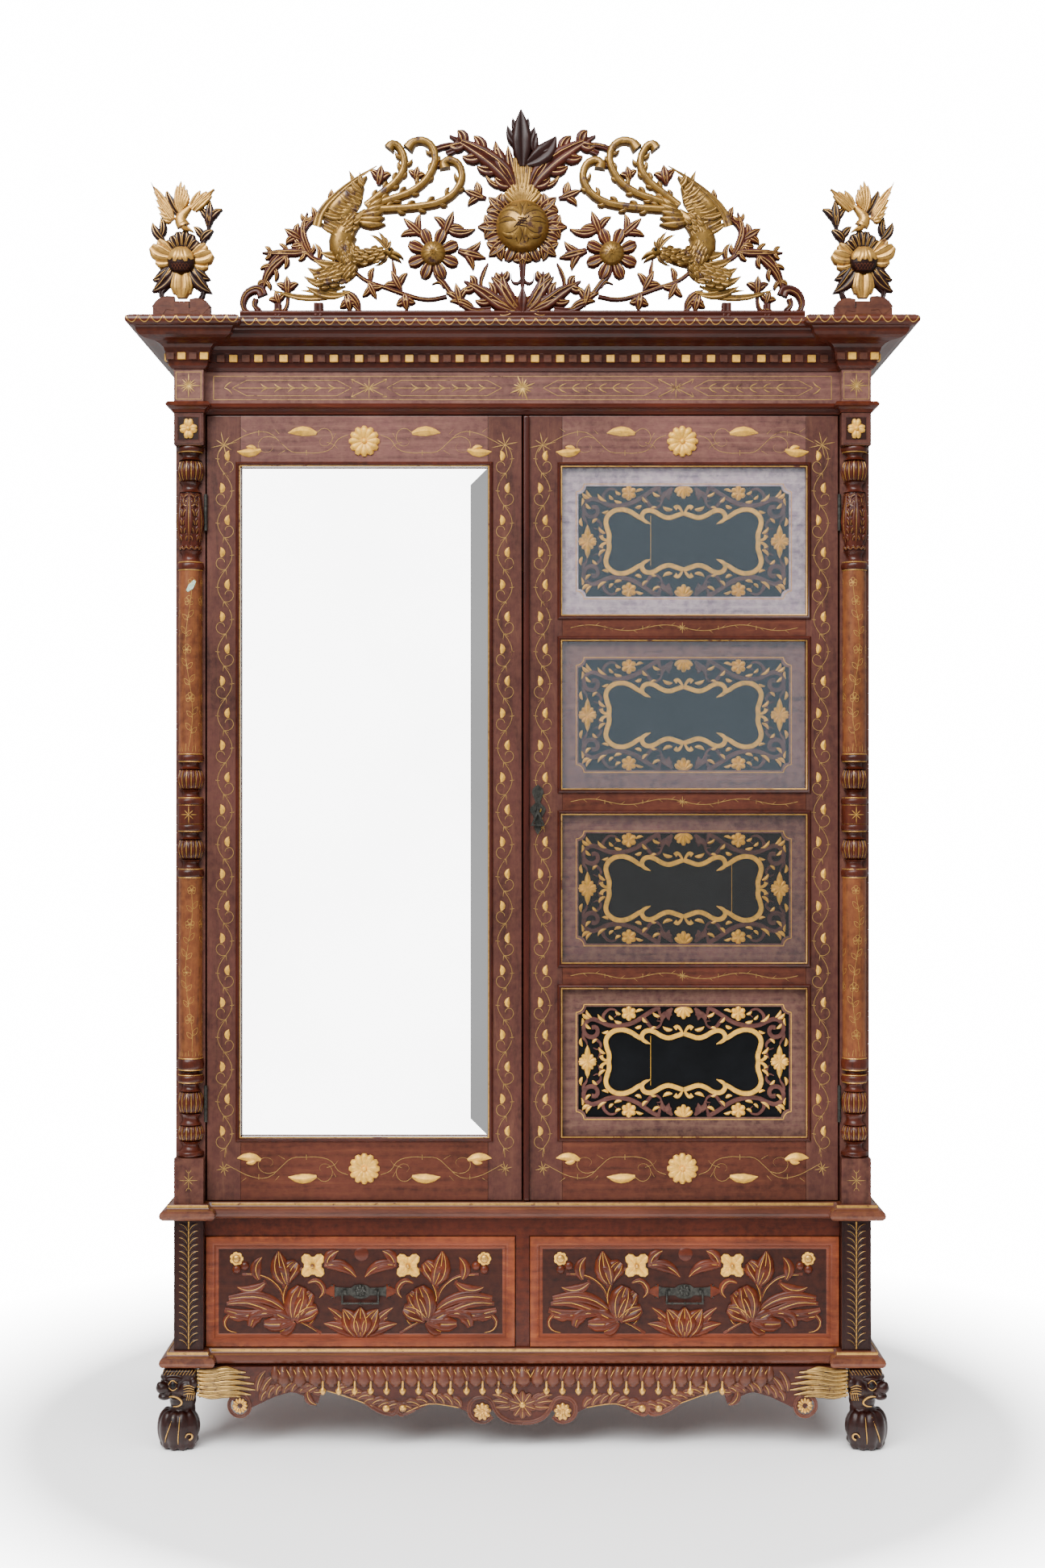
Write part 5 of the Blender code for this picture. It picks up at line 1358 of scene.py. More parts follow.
def makeFretPanel(number):
    low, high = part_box(f"fret_panel_{number}")
    middle = (low + high) / 2
    # panel 1 takes the board with the painted reflection
    tone = {1: "fretPaintedReflection", 4: "fretDusty"}.get(number, "fretBoard")
    board = fretBoard(f"fretBoard_{number}", low, high, tone)
    place(board, "right_door")
    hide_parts(f"fret_panel_{number}")
    origin = (middle.x, low.y + fret["set"], middle.z)
    mauve = carve(f"fretScrolls_{number}", fourWays(mauveScrolls()), "flat", "fret", origin,
        fret["scrollDepth"])
    band = carve(f"fretBand_{number}", fourWays(goldBand()), "flat", "brightGilt", origin,
        fret["scrollDepth"])
    leaves = carve(f"fretLeaves_{number}", fourWays(smallGoldLeaves()) + fretFlowers(), "ridge",
        "brightGilt", origin,
                   fret["scrollDepth"], fineness=2)
    edge = [(x, z) for x, z in fieldOutline(-4)]
    edges = [stroke([a, b], 0.9) for a, b in zip(edge, edge[1:] + edge[:1])]
    line = carve(f"fretLine_{number}", edges, "vein", "brightGilt",
        (middle.x, low.y + 0.0001, middle.z), fineness=1)
    knobs = [knob("flowerHeart", (middle.x + x * mm, origin[1] - 0.0014, middle.z + z * mm),
        (r, 0.0012, r), 12, 8)
             for x, z, r in ((-106, 94, 0.003), (106, 94, 0.003), (-106, -94, 0.003), (106, -94, 0.003),
                 (-186, 0, 0.004), (186, 0, 0.004))]
    hearts = dress(joined(f"fretHearts_{number}", knobs), "brightGilt")
    place(mauve, "right_door")
    for piece in (band, leaves, line, hearts):
        place(piece, "right_door")
    if number in (1, 4, 3):
        x = middle.x + (-0.064 if number != 3 else 0.093)
        joint = block(f"boardJoint_{number}", (x, high.y - 0.0006, middle.z - 0.046),
            (x + 0.0007, high.y + 0.0001, middle.z + 0.05))
        place(dress(joint, "brightGilt"), "right_door")


for panelNumber in (1, 2, 3, 4):
    makeFretPanel(panelNumber)


# drawer fronts: a mitred border round a sunk field with raised flowers
print("drawers")
drawer = {
    "border": [(0, -12), (0, -1), (1, 0), (12.5, 0), (15.5, -1.4), (17, -1.4), (18, -3), (22, -3.4),
        (24.6, -4.9), (24.6, -12)],
    "plaqueHalf": 72,
    "leafFat": 1.12,       # leaves are drawn a little broader than their first lines
    "bail": 0.0019,        # radius of the stouter bars laid over the plain wire
    "bailWire": 0.0013,
}


def drawerStems():
    # stems of the left half, in millimetres from the drawer's middle
    return drawn(
        ([(-76, -81), (-100, -66), (-128, -50), (-142, -32), (-148, -12), (-140, 14), (-130, 34),
            (-112, 44)], 3),
        ([(-228, 33), (-206, 32), (-186, 28), (-170, 19), (-156, 4), (-148, -14)], 2.6),
        ([(-186, 22), (-180, 12)], 2.4, "taper"),
        ([(-100, -66), (-92, -58), (-86, -46)], 2.6, "taper"),
        ([(-148, 6), (-147, 20)], 3),
    )


def drawerLeaves():
    parts = []
    # three-lobed leaf at the top
    parts += leaflets(((-143, 12), (-158, 78), 18, 0.06, 1),
        ((-146, 16), (-166, 44), 15, -0.10, 0, "petal"),
              ((-141, 18), (-123, 56), 16, 0.10, 0, "petal"))
    # leaf and bud leaf on the upper branch
    parts += leaflets(((-196, 22), (-190, 66), 10, 0.20), ((-184, 16), (-238, 8), 9.5, 0.18))
    # leaves beside the square flower
    parts += leaflets(((-66, 50), (-42, 78), 10, 0.16), ((-70, 50), (-8, 27), 10.5, 0.16),
        ((-64, 46), (-20, 34), 6, 0.12, 0.8))
    # hooked leaf
    parts += [stroke([(-102, 16), (-86, 20), (-74, 10), (-72, -2), (-80, -13)], 6, "leaf")]
    # five-lobed leaf over the main stem
    for tip, w, lift in (((-113, 9), 20, 1.4), ((-94, -3), 16, 0.6), ((-83, -33), 17, 1.1),
            ((-132, -10), 14, 0.3), ((-98, -46), 10, 0.3)):
        parts.append(leaflet((-126, -56), tip, w, 0.06, lift, "petal"))
    # sweeping plumes
    parts += drawn(
        ([(-142, -40), (-170, -20), (-206, -10), (-254, -14)], 11, "petal"),
        ([(-143, -44), (-178, -36), (-218, -22), (-258, -24)], 8, "petal", 0.8),
        ([(-150, -44), (-186, -42), (-220, -46), (-262, -36)], 10, "petal", 0.4),
        ([(-186, -42), (-204, -50), (-212, -68)], 13, "petal", 0.8),
        ([(-206, -44), (-236, -50), (-258, -48)], 8, "leaf", 1),
        ([(-252, -44), (-262, -58), (-256, -74), (-238, -80)], 4, "taper", 0.6),
    )
    # five-lobed leaf low on the stem
    for tip, w, lift in (((-186, -62), 13, 0.9), ((-168, -39), 13, 0.3), ((-156, -78), 13, 0.3)):
        parts.append(leaflet((-128, -58), tip, w, 0.05, lift, "petal"))
    return parts


def drawerLotus():
    parts = []
    for x, z, w, lift in ((-63, -31, 10, 0), (-71, -62, 12, 0.5), (-52, -50, 11, 0.2), (-34, -34, 22, 1)):
        for s in (-1, 1):
            parts.append(leaflet((s * 8, -87), (s * -x, z), w, s * 0.06, lift))
    parts.append(leaflet((0, -87), (0, -30), 25, 0, 2.2))
    return parts


def makeDrawerFront(side):
    low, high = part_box(f"drawer_front_{side}")
    body = f"{side}_drawer"
    middle = (low + high) / 2
    fieldY = low.y + 0.0047
    board = block(f"drawerBoard_{side}", (low.x + 0.001, fieldY, low.z + 0.001),
        (high.x - 0.001, high.y, high.z - 0.001))
    border = moulding(f"drawerBorder_{side}", low.x, low.z, high.x, high.z, low.y, drawer["border"],
        "drawerEdge")
    place(dress(board, "drawer"), body)
    place(border, body)
    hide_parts(f"drawer_front_{side}")

    origin = (middle.x, fieldY, middle.z)
    half = drawerLeaves()
    for item in half:
        item["widths"] = [w * drawer["leafFat"] for w in item["widths"]]
    leaves = half + flipped(half) + drawerLotus()
    stems = drawerStems() + flipped(drawerStems())
    wood = carve(f"drawerLeaves_{side}", leaves + stems, "hollow", "drawerLeaf", origin)
    lines = veins(leaves, "hollow", 0.7, (0,), 4, 0.3) + veins(leaves, "hollow", 0.5, (-0.48, 0.48), 17,
        0.3)
    lines += veins(stems, "hollow", 0.5, (0.4,), 2.5, 0.2)
    gold = carve(f"drawerVeins_{side}", lines, "vein", "brightGilt", origin, fineness=2)
    flowers = []
    for s in (-1, 1):
        for turn in (45, 135, 225, 315):
            flowers.append(leaflet((s * 92, 50), stepped((s * 92, 50), math.radians(turn), 27), 10, 0, 0.8,
                "petal"))
        flowers += blossom((s * 92, 50), 1, 17, 4, 9, 0, 1.4)
        flowers += blossom((s * 239, 63), 1, 13, 7, 5.5, 0, 0.8)
    bright = carve(f"drawerFlowers_{side}", flowers, "hollow", "brightGilt", origin)
    knobs = [knob("heart", (middle.x + s * 92 * mm, fieldY - 0.007, middle.z + 50 * mm),
        (0.0045, 0.005, 0.0045), 12, 8) for s in (-1, 1)]
    knobs += [knob("bud", (middle.x + s * 239 * mm, fieldY - 0.002, middle.z + 63 * mm),
        (0.0085, 0.0055, 0.0085), 14, 8) for s in (-1, 1)]
    hearts = dress(joined(f"drawerHearts_{side}", knobs), "gilt")
    berries = [knob("berry", (middle.x + s * x * mm, fieldY, middle.z + z * mm), (0.0085, 0.006, 0.0085),
        14, 8)
               for s in (-1, 1) for x, z in ((239, 42), (223, 49))]
    plug = knob("plug", (middle.x + 0.002, fieldY + 0.001, middle.z + 72 * mm), (0.0145, 0.0035, 0.0145),
        24, 8)
    berries = dress(joined(f"drawerBerries_{side}", berries + [plug]), "drawerLeaf")
    # plaque behind the iron pull, pointed at both ends
    pullLow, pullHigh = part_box(f"drawer_pull_plate_{side}")
    pz = ((pullLow + pullHigh) / 2).z - middle.z
    reach, tall = drawer["plaqueHalf"], 14
    ends = [stroke([(s * 50, pz * 1000), (s * reach, pz * 1000)], tall, "taper") for s in (-1, 1)]
    for item in ends:
        item["widths"] = [tall, 1.5]
    plaque = carve(f"drawerPlaque_{side}", ends, "flat", "drawerLeaf", origin, fineness=1)
    for item in (wood, berries, plaque):
        place(item, body)
    for item in (gold, bright, hearts):
        place(item, body)
    # iron: a boss on the pull plate, and a stouter bail with turned collars
    boss = carve(f"pullBoss_{side}", blossom((0, 0), 1, 11, 8, 3.6, 0, 1) +
        blossom((0, 0), 0.5, 5, 6, 2, 0, 3), "round", "iron",
                 (middle.x, pullHigh.y - 0.0025, ((pullLow + pullHigh) / 2).z + 0.002), fineness=2)
    place(boss, body)
    bailLow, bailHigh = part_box(f"drawer_bail_{side}")
    axisY, wire = (bailLow.y + bailHigh.y) / 2, drawer["bailWire"]
    foot, arm, top = bailLow.z + wire, (bailHigh.x - bailLow.x) / 2 - wire, bailHigh.z - wire
    bars = []
    for s in (-1, 1):
        x = middle.x + s * arm
        bars.append(rod((x, axisY, (top + foot) / 2), drawer["bail"], top - foot + 0.003, 14))
        bars += [knob("collar", (x, axisY, z), (r, r, 0.0016), 14, 8) for z,
            r in ((foot + 0.004, 0.003), (top - 0.007, 0.0023))]
        bars.append(knob("collar", (x - s * 0.011, axisY, foot), (0.0018, 0.003, 0.003), 14, 8))
    bars.append(rod((middle.x, axisY, foot), drawer["bail"], 2 * arm + 0.003, 14, (0, math.pi / 2, 0)))
    bars.append(knob("collar", (middle.x, axisY, foot), (0.0024, 0.0034, 0.0034), 14, 8))
    bail = dress(joined(f"bailBars_{side}", bars, 50), "iron")
    place(bail, f"{side}_bail")


for drawerSide in ("left", "right"):
    makeDrawerFront(drawerSide)


# base: carved apron with tongues and tassels, masked legs and gilt fillets
print("base")
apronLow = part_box("apron_front")[0]
base = {
    "tonguePitch": 30.6,
    "voxel": 0.0019,
}


def leafStrip(path, count, length, width, lean):
    # overlapping leaves that stand up from an edge and lean along it
    parts = []
    for i in range(count):
        point, angle = along(path, i / (count - 1))
        tip = stepped(point, angle + math.radians(lean), length * (0.85 + 0.15 * (i % 2)))
        parts.append(leaflet(point, tip, width, 0.14 if lean > 0 else -0.14, 0.4 * (i % 2), "petal"))
    return parts


def apronHalf():
    # leaves and scrolls on the right half; measures are millimetres, up from the floor
    leaves = leafStrip([(118, 80), (150, 86), (182, 88), (212, 76)], 7, 27, 7.5, 38)
    leaves += leafStrip([(356, 112), (322, 98), (290, 84), (262, 76)], 8, 27, 8, -38)
    leaves += leafStrip([(500, 92), (470, 104), (440, 110), (412, 106)], 7, 26, 8, -40)
    leaves += leaflets(((412, 112), (394, 84), 8, 0.2, 1), ((404, 110), (378, 112), 7, 0.1),
        ((430, 112), (402, 124), 7, 0.1))
    leaves += [leaflet((14, 84), tip, w, b, 0.8) for tip, w,
        b in (((58, 104), 8, 0.1), ((60, 92), 7, 0.05), ((52, 80), 7, -0.05), ((40, 108), 6, 0.1))]
    leaves += leaflets(((508, 110), (492, 150), 8, -0.1, 0.4), ((500, 104), (476, 140), 8, -0.1, 0.2))
    scrolls = drawn(
        ([(0, 50), (22, 52), (42, 62), (54, 78), (58, 88), (66, 96), (80, 98), (96, 92), (102, 78),
            (98, 62), (84, 53), (70, 53), (58, 62)], 4.4),
        ([(206, 74), (222, 68), (234, 66), (240, 76), (236, 86), (228, 84)], 5, "curl"),
        ([(300, 90), (276, 74), (258, 68), (246, 68), (240, 78), (246, 88), (256, 86)], 5),
        ([(521, 82), (528, 98), (542, 104), (556, 98), (562, 84), (557, 70), (542, 62), (527, 68),
            (521, 82)], 3.6),
    )
    return leaves, scrolls


def tongues():
    parts, hatch, tassels = [], [], []
    pitch = base["tonguePitch"]
    for side in (-1, 1):
        for k in range(0, 16):
            x = side * (k * pitch)
            if (k == 0 and side == 1) or abs(x) > 470:
                continue
            width = 16 if k == 0 else 13.6
            parts.append(leaflet((x, 158), (x - side * 3, 120), width, 0, 0.6, "petal"))
            parts.append(leaflet((x + side * pitch / 2, 158), (x + side * (pitch / 2 - 2), 130), 9, 0, 0,
                "petal"))
            for j in range(3):
                a = x + side * (j * 8.5 - 8)
                hatch.append(stroke([(a, 154), (a - side * 3, 148), (a - side * 7.5, 139)], 1, "swell",
                    8.2))
            a = x + side * pitch / 2
            if abs(a) < 400:
                tassels.append(stroke([(a, 136), (a, 126), (a, 114)], 2.3, "stem", 1.5))
                tassels.append(leaflet((a, 118), (a, 103), 6.6, 0, 1.5, "bud"))
                tassels.append(stroke([(a - 6, 113), (a, 110.5), (a + 6, 113)], 2.2, "swell", 2))
    for i in range(-3, 4):
        hatch.append(stroke([(i * 2.2, 146), (i * 4.4, 155)], 1, "swell", 9))
    return parts, hatch, tassels


def maneLocks():
    # gilt hair that flows from each mask along the apron, right side
    tips = [(545, 150), (530, 147), (522, 137), (514, 125), (512, 113), (520, 104), (540, 100)]
    parts = []
    for i, tip in enumerate(tips):
        z = 150 - i * 7.6
        parts.append(stroke([(623, z), (596, z - 1 - i * 0.5), (566, (z + tip[1]) / 2 + 2), tip], 6.6,
            "petal", 1.5 + 0.7 * (i % 2)))
        parts[-1]["widths"][-1] = 0.8
    return parts


def makeApron():
    origin = (0, apronLow.y, 0)
    leaves, scrolls = apronHalf()
    parts, hatch, tassels = tongues()
    leaves = leaves + flipped(leaves)
    leaves += blossom((0, 85), 4, 26, 10, 6.4, 90, 2)
    wood = carve("apronLeaves", leaves + scrolls + flipped(scrolls), "hollow", "carved", origin)
    band = carve("apronTongues", parts, "round", "carved", origin)
    lines = veins(leaves, "hollow", 0.75, (0,), 4, 0.35) + hatch
    rim = drawn(([(123, 79), (150, 84), (180, 86), (208, 77), (225, 69)], 0.8, "stem", 0.5),
           ([(255, 69), (280, 79), (307, 89), (340, 101), (374, 111)], 0.8, "stem", 0.5))
    lines += rim + flipped(rim)
    threads = carve("apronLines", lines, "vein", "gilt", origin, fineness=2)
    roses, balls = [], []
    for s in (-1, 1):
        roses += blossom((s * 77, 72), 2, 16.5, 9, 4.95, 90, 2) + blossom((s * 77, 72), 0.5, 4.95, 6,
            2.145, 0, 4.5)
        roses += blossom((s * 541, 83), 5, 14.5, 12, 3, 0, 1.5)
    gold = carve("apronRosettes", roses + tassels, "round", "gilt", origin, fineness=2)
    for x, z, r in ((261, 78, 7), (229, 78, 7), (0, 85, 6.5)):
        for s in ((-1, 1) if x else (1,)):
            balls.append(knob("scrollEye", (s * x * mm, origin[1] - 0.0018, z * mm),
                (r * mm, 0.005, r * mm), 14, 8))
    eyes = dress(joined("apronBalls", balls), "gilt")
    mane = maneLocks()
    mane = mane + flipped(mane)
    hair = carve("apronMane", mane, "round", "oldGilt", origin)
    combs = carve("apronManeLines", veins(mane, "round", 0.6, (-0.55, -0.15, 0.3, 0.7), 4, 0.1), "vein",
        "darkCarved", origin, fineness=3)
    for item in (wood, band):
        place(item, "carcass")
    for item in (threads, gold, eyes, hair):
        place(item, "carcass")
    place(combs, "carcass")


def fused(name, objects, voxel, look):
    # many overlapping forms made one skin
    obj = joined(name, objects, 0)
    remesh = obj.modifiers.new("skin", "REMESH")
    remesh.mode = "VOXEL"
    remesh.voxel_size = voxel
    smooth = obj.modifiers.new("soften", "SMOOTH")
    smooth.factor = 0.5
    smooth.iterations = 3
    pick(obj)
    bpy.ops.object.modifier_apply(modifier="skin")
    bpy.ops.object.modifier_apply(modifier="soften")
    bpy.ops.object.shade_smooth()
    return dress(obj, look)


def makeFrontLeg(side, sign):
    # a beast's mask on the corner over an ankle and a grooved paw; u runs towards the middle, v to the front
    low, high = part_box(f"leg_front_{side}")
    cx, cy = (low.x + high.x) / 2, (low.y + high.y) / 2

    def at(u, v, z):
        return (cx - sign * u * mm, cy - v * mm, z * mm)

    def lump(u, v, z, ru, rv, rz):
        return knob("lump", at(u, v, z), (ru * mm, rv * mm, rz * mm), 20, 12)

    forms = [block("knee", (cx - 0.033, cy - 0.031, 0.114), (cx + 0.033, cy + 0.033, 0.1565), 0.012, 3)]
    forms += [lump(0, 0, 112, 33, 33, 26), lump(3, 0, 90, 26, 26, 24), lump(3, 0, 72, 24.5, 24.5, 24)]
    forms += [lump(-2, 2, 40, 39, 39, 40), lump(-1, 1, 14, 35, 35, 14.2)]
    for angle in (-62, -30, 2, 34, 66, 98, 130, -94):
        a = math.radians(angle + 135)
        u, v = math.cos(a) * 27 - 2, math.sin(a) * 27 + 2
        forms.append(lump(u, v, 38, 17, 17, 36))
        forms.append(lump(math.cos(a) * 29 - 2, math.sin(a) * 29 + 2, 9.5, 10, 10, 9.5))
    # snout and jaw on the outer corner, features on both outer faces
    forms += [lump(-31, 31, 120, 13, 13, 12), lump(-35, 35, 126, 7, 7, 7), lump(-28, 28, 103, 13, 13, 7)]
    for swap in (False, True):
        def both(u, v, z, ru, rv, rz):
            return lump(-v, -u, z, rv, ru, rz) if swap else lump(u, v, z, ru, rv, rz)
        forms += [both(-10, 32, 137, 17, 6.5, 4.5), both(-10, 33, 126, 8, 6, 8),
            both(14, 31, 116, 13, 7, 15), both(24, 30, 106, 9.5, 8, 9.5),
                  both(28, 30, 128, 8, 7, 10), both(-22, 31, 112, 9, 7, 6)]
    skin = fused(f"maskLeg_{side}", forms, base["voxel"], "darkCarved")
    place(skin, "carcass")
    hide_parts(f"leg_front_{side}")

    # gilt touches: hair over the brow, mouth, ear strokes, toe grooves
    turn = lambda strokes: flipped(strokes, -sign)
    head = [stroke([(-34 + i * 6, 145), (-27 + i * 6, 155)], 0.9, "swell", 1) for i in range(11)]
    head += [stroke([(-24, 102), (-12, 104), (0, 100), (6, 92), (0, 86), (-10, 85)], 2, "swell", 0)]
    head += [stroke([(10, 124 - i * 5), (20, 126 - i * 5), (31, 122 - i * 4)], 1, "swell", 4)
        for i in range(4)]
    head += [stroke([(16 + i * 4, 98), (19 + i * 4, 113)], 1.2, "swell", 5) for i in range(4)]
    head += drawn(([(-19, 128), (-11, 136), (-2, 130)], 1, "swell", 5),
        ([(-18, 122), (-10, 117), (-2, 122)], 1, "swell", 5))
    lines = carve(f"maskLines_{side}", turn(head), "vein", "gilt", (cx, cy - 0.0345, 0), fineness=3)
    toes = drawn(([(-10, 66), (-17, 46), (-24, 26), (-26, 16)], 1, "swell"),
        ([(3, 66), (2, 44), (0, 22), (0, 14)], 1, "swell"))
    toeRise = lambda x, z: 0.0455 * math.sqrt(max(0, 1 - (x / 0.050) ** 2 - ((z - 0.040) / 0.052) ** 2))
    grooves = carve(f"toeLines_{side}", turn(toes), "vein", "gilt", (cx, cy, 0), 0, toeRise, 5)
    spiral = [stroke([(14, 28), (18, 34), (25, 33), (26, 26), (21, 22)], 1.6, "curl")]
    curl = carve(f"toeCurl_{side}", turn(spiral), "round", "gilt", (cx, cy, 0), 0, toeRise, 4)
    pupil = dress(knob(f"maskEye_{side}", at(-10, 38.5, 126), (0.0042, 0.0026, 0.0042), 14, 8),
        "black")
    for item in (lines, grooves, curl, pupil):
        place(item, "carcass")


def makeFillets(node, label):
    # thin gilt strips on the small upright above each round nose
    low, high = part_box(node)
    z0, z1 = high.z - 0.0068, high.z - 0.0008
    strips = []
    for x0, x1, y in ((-0.5985, 0.5985, low.y + 0.0405), (-0.6795, -0.6010, low.y + 0.0145),
            (0.6010, 0.6795, low.y + 0.0145)):
        strips.append(block("fillet", (x0, y - 0.0010, z0), (x1, y + 0.004, z1), 0.0012))
    for s in (-1, 1):
        strips.append(block("fillet", (s * 0.6795 - 0.0006, low.y + 0.0145, z0),
            (s * 0.6795 + 0.0006, 0.28, z1)))
    place(dress(joined(f"gilt_{label}", strips, 0), "gilt"), "carcass")


def makePilaster(side):
    # a spine with pairs of leaves all the way up
    low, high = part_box(f"pilaster_{side}")
    dress(nodes[f"pilaster_{side}"], "darkCarved")
    height = (high.z - low.z) * 1000
    pairs, pitch = 18, (height - 16) / 18
    leaves = []
    for i in range(pairs):
        z = 6 + i * pitch
        for s in (-1, 1):
            leaves.append(leaflet((s * 1.5, z), (s * 19.5, z + 15), 4.6, s * 0.18, 0))
    spine = [stroke([(0, 3), (0, height / 2), (0, height - 4)], 1.5)]
    edges = [stroke([(s * 26, 1), (s * 26, height - 1)], 1.9) for s in (-1, 1)]
    origin = ((low.x + high.x) / 2, low.y, low.z)
    wood = carve(f"pilasterLeaves_{side}", leaves + edges, "hollow", "darkCarved", origin,
        fineness=2)
    gold = carve(f"pilasterGold_{side}", spine + veins(leaves, "hollow", 0.42, (0.05,), 2, 0.3), "ridge",
        "gilt", origin, fineness=2)
    place(wood, "carcass")
    place(gold, "carcass")


makeApron()
makeFrontLeg("left", -1)
makeFrontLeg("right", 1)
makeFillets("base_moulding", "baseFillet")
makeFillets("waist_moulding", "waistFillet")
makePilaster("left")
makePilaster("right")


# columns: turned half-columns with reeded balls, acanthus vases and engraved shafts
print("columns")
column = {
    "axisX": halfW - (halfW - postIn) / 2,
    "axisY": faceY,
    "radius": 0.02625,
    "steps": 40,
    "reeds": 16,
    "line": 0.62,
}
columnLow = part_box("column_left")[0]
turnings = [  # kind, start and end above the foot in metres
    ("ring", 0.000, 0.012), ("cove", 0.012, 0.030), ("ball", 0.030, 0.062), ("cove", 0.062, 0.083),
    ("ball", 0.083, 0.127),
    ("cove", 0.127, 0.144), ("ring", 0.144, 0.158), ("cove", 0.158, 0.168), ("ring", 0.168, 0.190),
    ("shaft", 0.190, 0.538),
    ("ring", 0.538, 0.554), ("cove", 0.554, 0.572), ("ball", 0.572, 0.612), ("cove", 0.612, 0.627),
    ("ring", 0.627, 0.641),
    ("drum", 0.641, 0.677), ("ring", 0.677, 0.691), ("cove", 0.691, 0.706), ("ball", 0.706, 0.747),
    ("cove", 0.747, 0.761),
    ("ring", 0.761, 0.775), ("shaft", 0.775, 1.129), ("ring", 1.129, 1.144), ("cove", 1.144, 1.165),
    ("vase", 1.165, 1.279),
    ("cove", 1.279, 1.298), ("ball", 1.298, 1.341), ("cove", 1.341, 1.356), ("ring", 1.356, 1.368),
]


def turnedRadius(kind, t):
    r = column["radius"]
    if kind == "ring":
        return r * (0.86 + 0.14 * math.sqrt(max(0, 1 - (2 * t - 1) ** 2)))
    if kind == "cove":
        return r * (0.60 + 0.22 * (2 * t - 1) ** 2)
    if kind == "ball":
        return r * (0.56 + 0.34 * math.sqrt(max(0, 1 - (2 * t - 1) ** 2)))
    if kind == "vase":
        return r * (0.70 + 0.10 * math.sin(math.pi * t) + 0.10 * math.sin(math.pi * t) ** 3)
    if kind == "drum":
        return r * 0.96
    return r * 0.86


def radiusAt(z):
    for kind, z0, z1 in turnings:
        if z0 <= z <= z1:
            return turnedRadius(kind, (z - z0) / (z1 - z0))
    return column["radius"] * 0.86


def turnColumn(name, axisX, look):
    # the profile spun about the axis
    profile = []
    for kind, z0, z1 in turnings:
        steps = {"shaft": 1, "drum": 1}.get(kind, 8)
        for i in range(steps + 1):
            t = i / steps
            profile.append((turnedRadius(kind, t), z0 + (z1 - z0) * t))
    curve = newCurve(name, "3D")
    spline = curve.splines.new("POLY")
    rows = [(0, profile[0][1])] + profile + [(0, profile[-1][1])]
    spline.points.add(len(rows) - 1)
    for target, (r, z) in zip(spline.points, rows):
        target.co = (r, 0, z, 1)
    obj = added(name, curve)
    pick(obj)
    bpy.ops.object.convert(target="MESH")
    turned = obj.modifiers.new("turned", "SCREW")
    turned.steps = turned.render_steps = column["steps"]
    turned.use_merge_vertices = True
    turned.merge_threshold = 0.00002
    obj.location = (axisX, column["axisY"], columnLow.z)
    bake(obj)
    weld(0.00002)
    bpy.ops.object.shade_smooth_by_angle(angle=math.radians(38))
    return dress(obj, look)


def wrapped(obj, axisX):
    # bends a flat carving round the column: across becomes angle, forward becomes outward
    flatY = column["axisY"]
    for vertex in obj.data.vertices:
        x, y, z = vertex.co
        angle = (x - axisX) / (column["radius"] * 0.95)
        reach = radiusAt(z - columnLow.z) + (flatY - y)
        vertex.co = (axisX + reach * math.sin(angle), flatY - reach * math.cos(angle), z)
    return obj


def outlinedLeaf(base, tip, fat):
    # a leaf drawn with two bowed lines and a midrib
    return [stroke(arc(base, tip, fat), column["line"]), stroke(arc(base, tip, -fat), column["line"]),
        leaflet(base, tip, column["line"], 0, 0, "taper")]


def drawnRose(x, z, size):
    # a rose of nested arcs with leaves tucked under it
    lines = []
    for turn, reach in ((90, 1), (150, 0.9), (30, 0.9), (210, 0.8), (330, 0.8)):
        a = math.radians(turn)
        left, right = stepped((x, z), a - 0.55, size * reach), stepped((x, z), a + 0.55, size * reach)
        lines.append(stroke([(x, z), left, stepped((x, z), a, size * reach * 1.25), right, (x, z)],
            column["line"]))
    lines.append(stroke([(x - size * 0.3, z), (x, z + size * 0.35), (x + size * 0.3, z),
        (x, z - size * 0.25)], column["line"]))
    return lines


def shaftDrawing(z0, z1, seed):
    # grass at the foot and a wandering plant with leaves and roses
    lines = []
    for i in range(-5, 6):
        x = i * 7.5
        lines.append(stroke([(x, z0 + 3), (x + (3 if i % 2 else -3), z0 + 20 + 7 * ((i + seed) % 3))],
            column["line"] * 1.3, "taper"))
    for startX, phase in ((0, seed), (-42, seed + 2), (42, seed + 4)):
        points = []
        count = 11
        for i in range(count):
            t = i / (count - 1)
            points.append((startX + 7.5 * math.sin(phase + t * 7.5), z0 + 12 + (z1 - z0 - 40) * t))
        lines.append(stroke(points, column["line"]))
        for i in range(1, count - 1):
            x, z = points[i]
            side = -1 if (i + seed) % 2 else 1
            if (i + seed) % 3 == 0:
                lines += drawnRose(x + side * 3, z, 9)
            else:
                lines += outlinedLeaf((x, z), (x + side * 12, z + 15), 0.22)
                lines += outlinedLeaf((x, z - 5), (x - side * 12, z + 7), 0.22)
        lines += drawnRose(points[-1][0], points[-1][1] + 5, 8)
    return lines


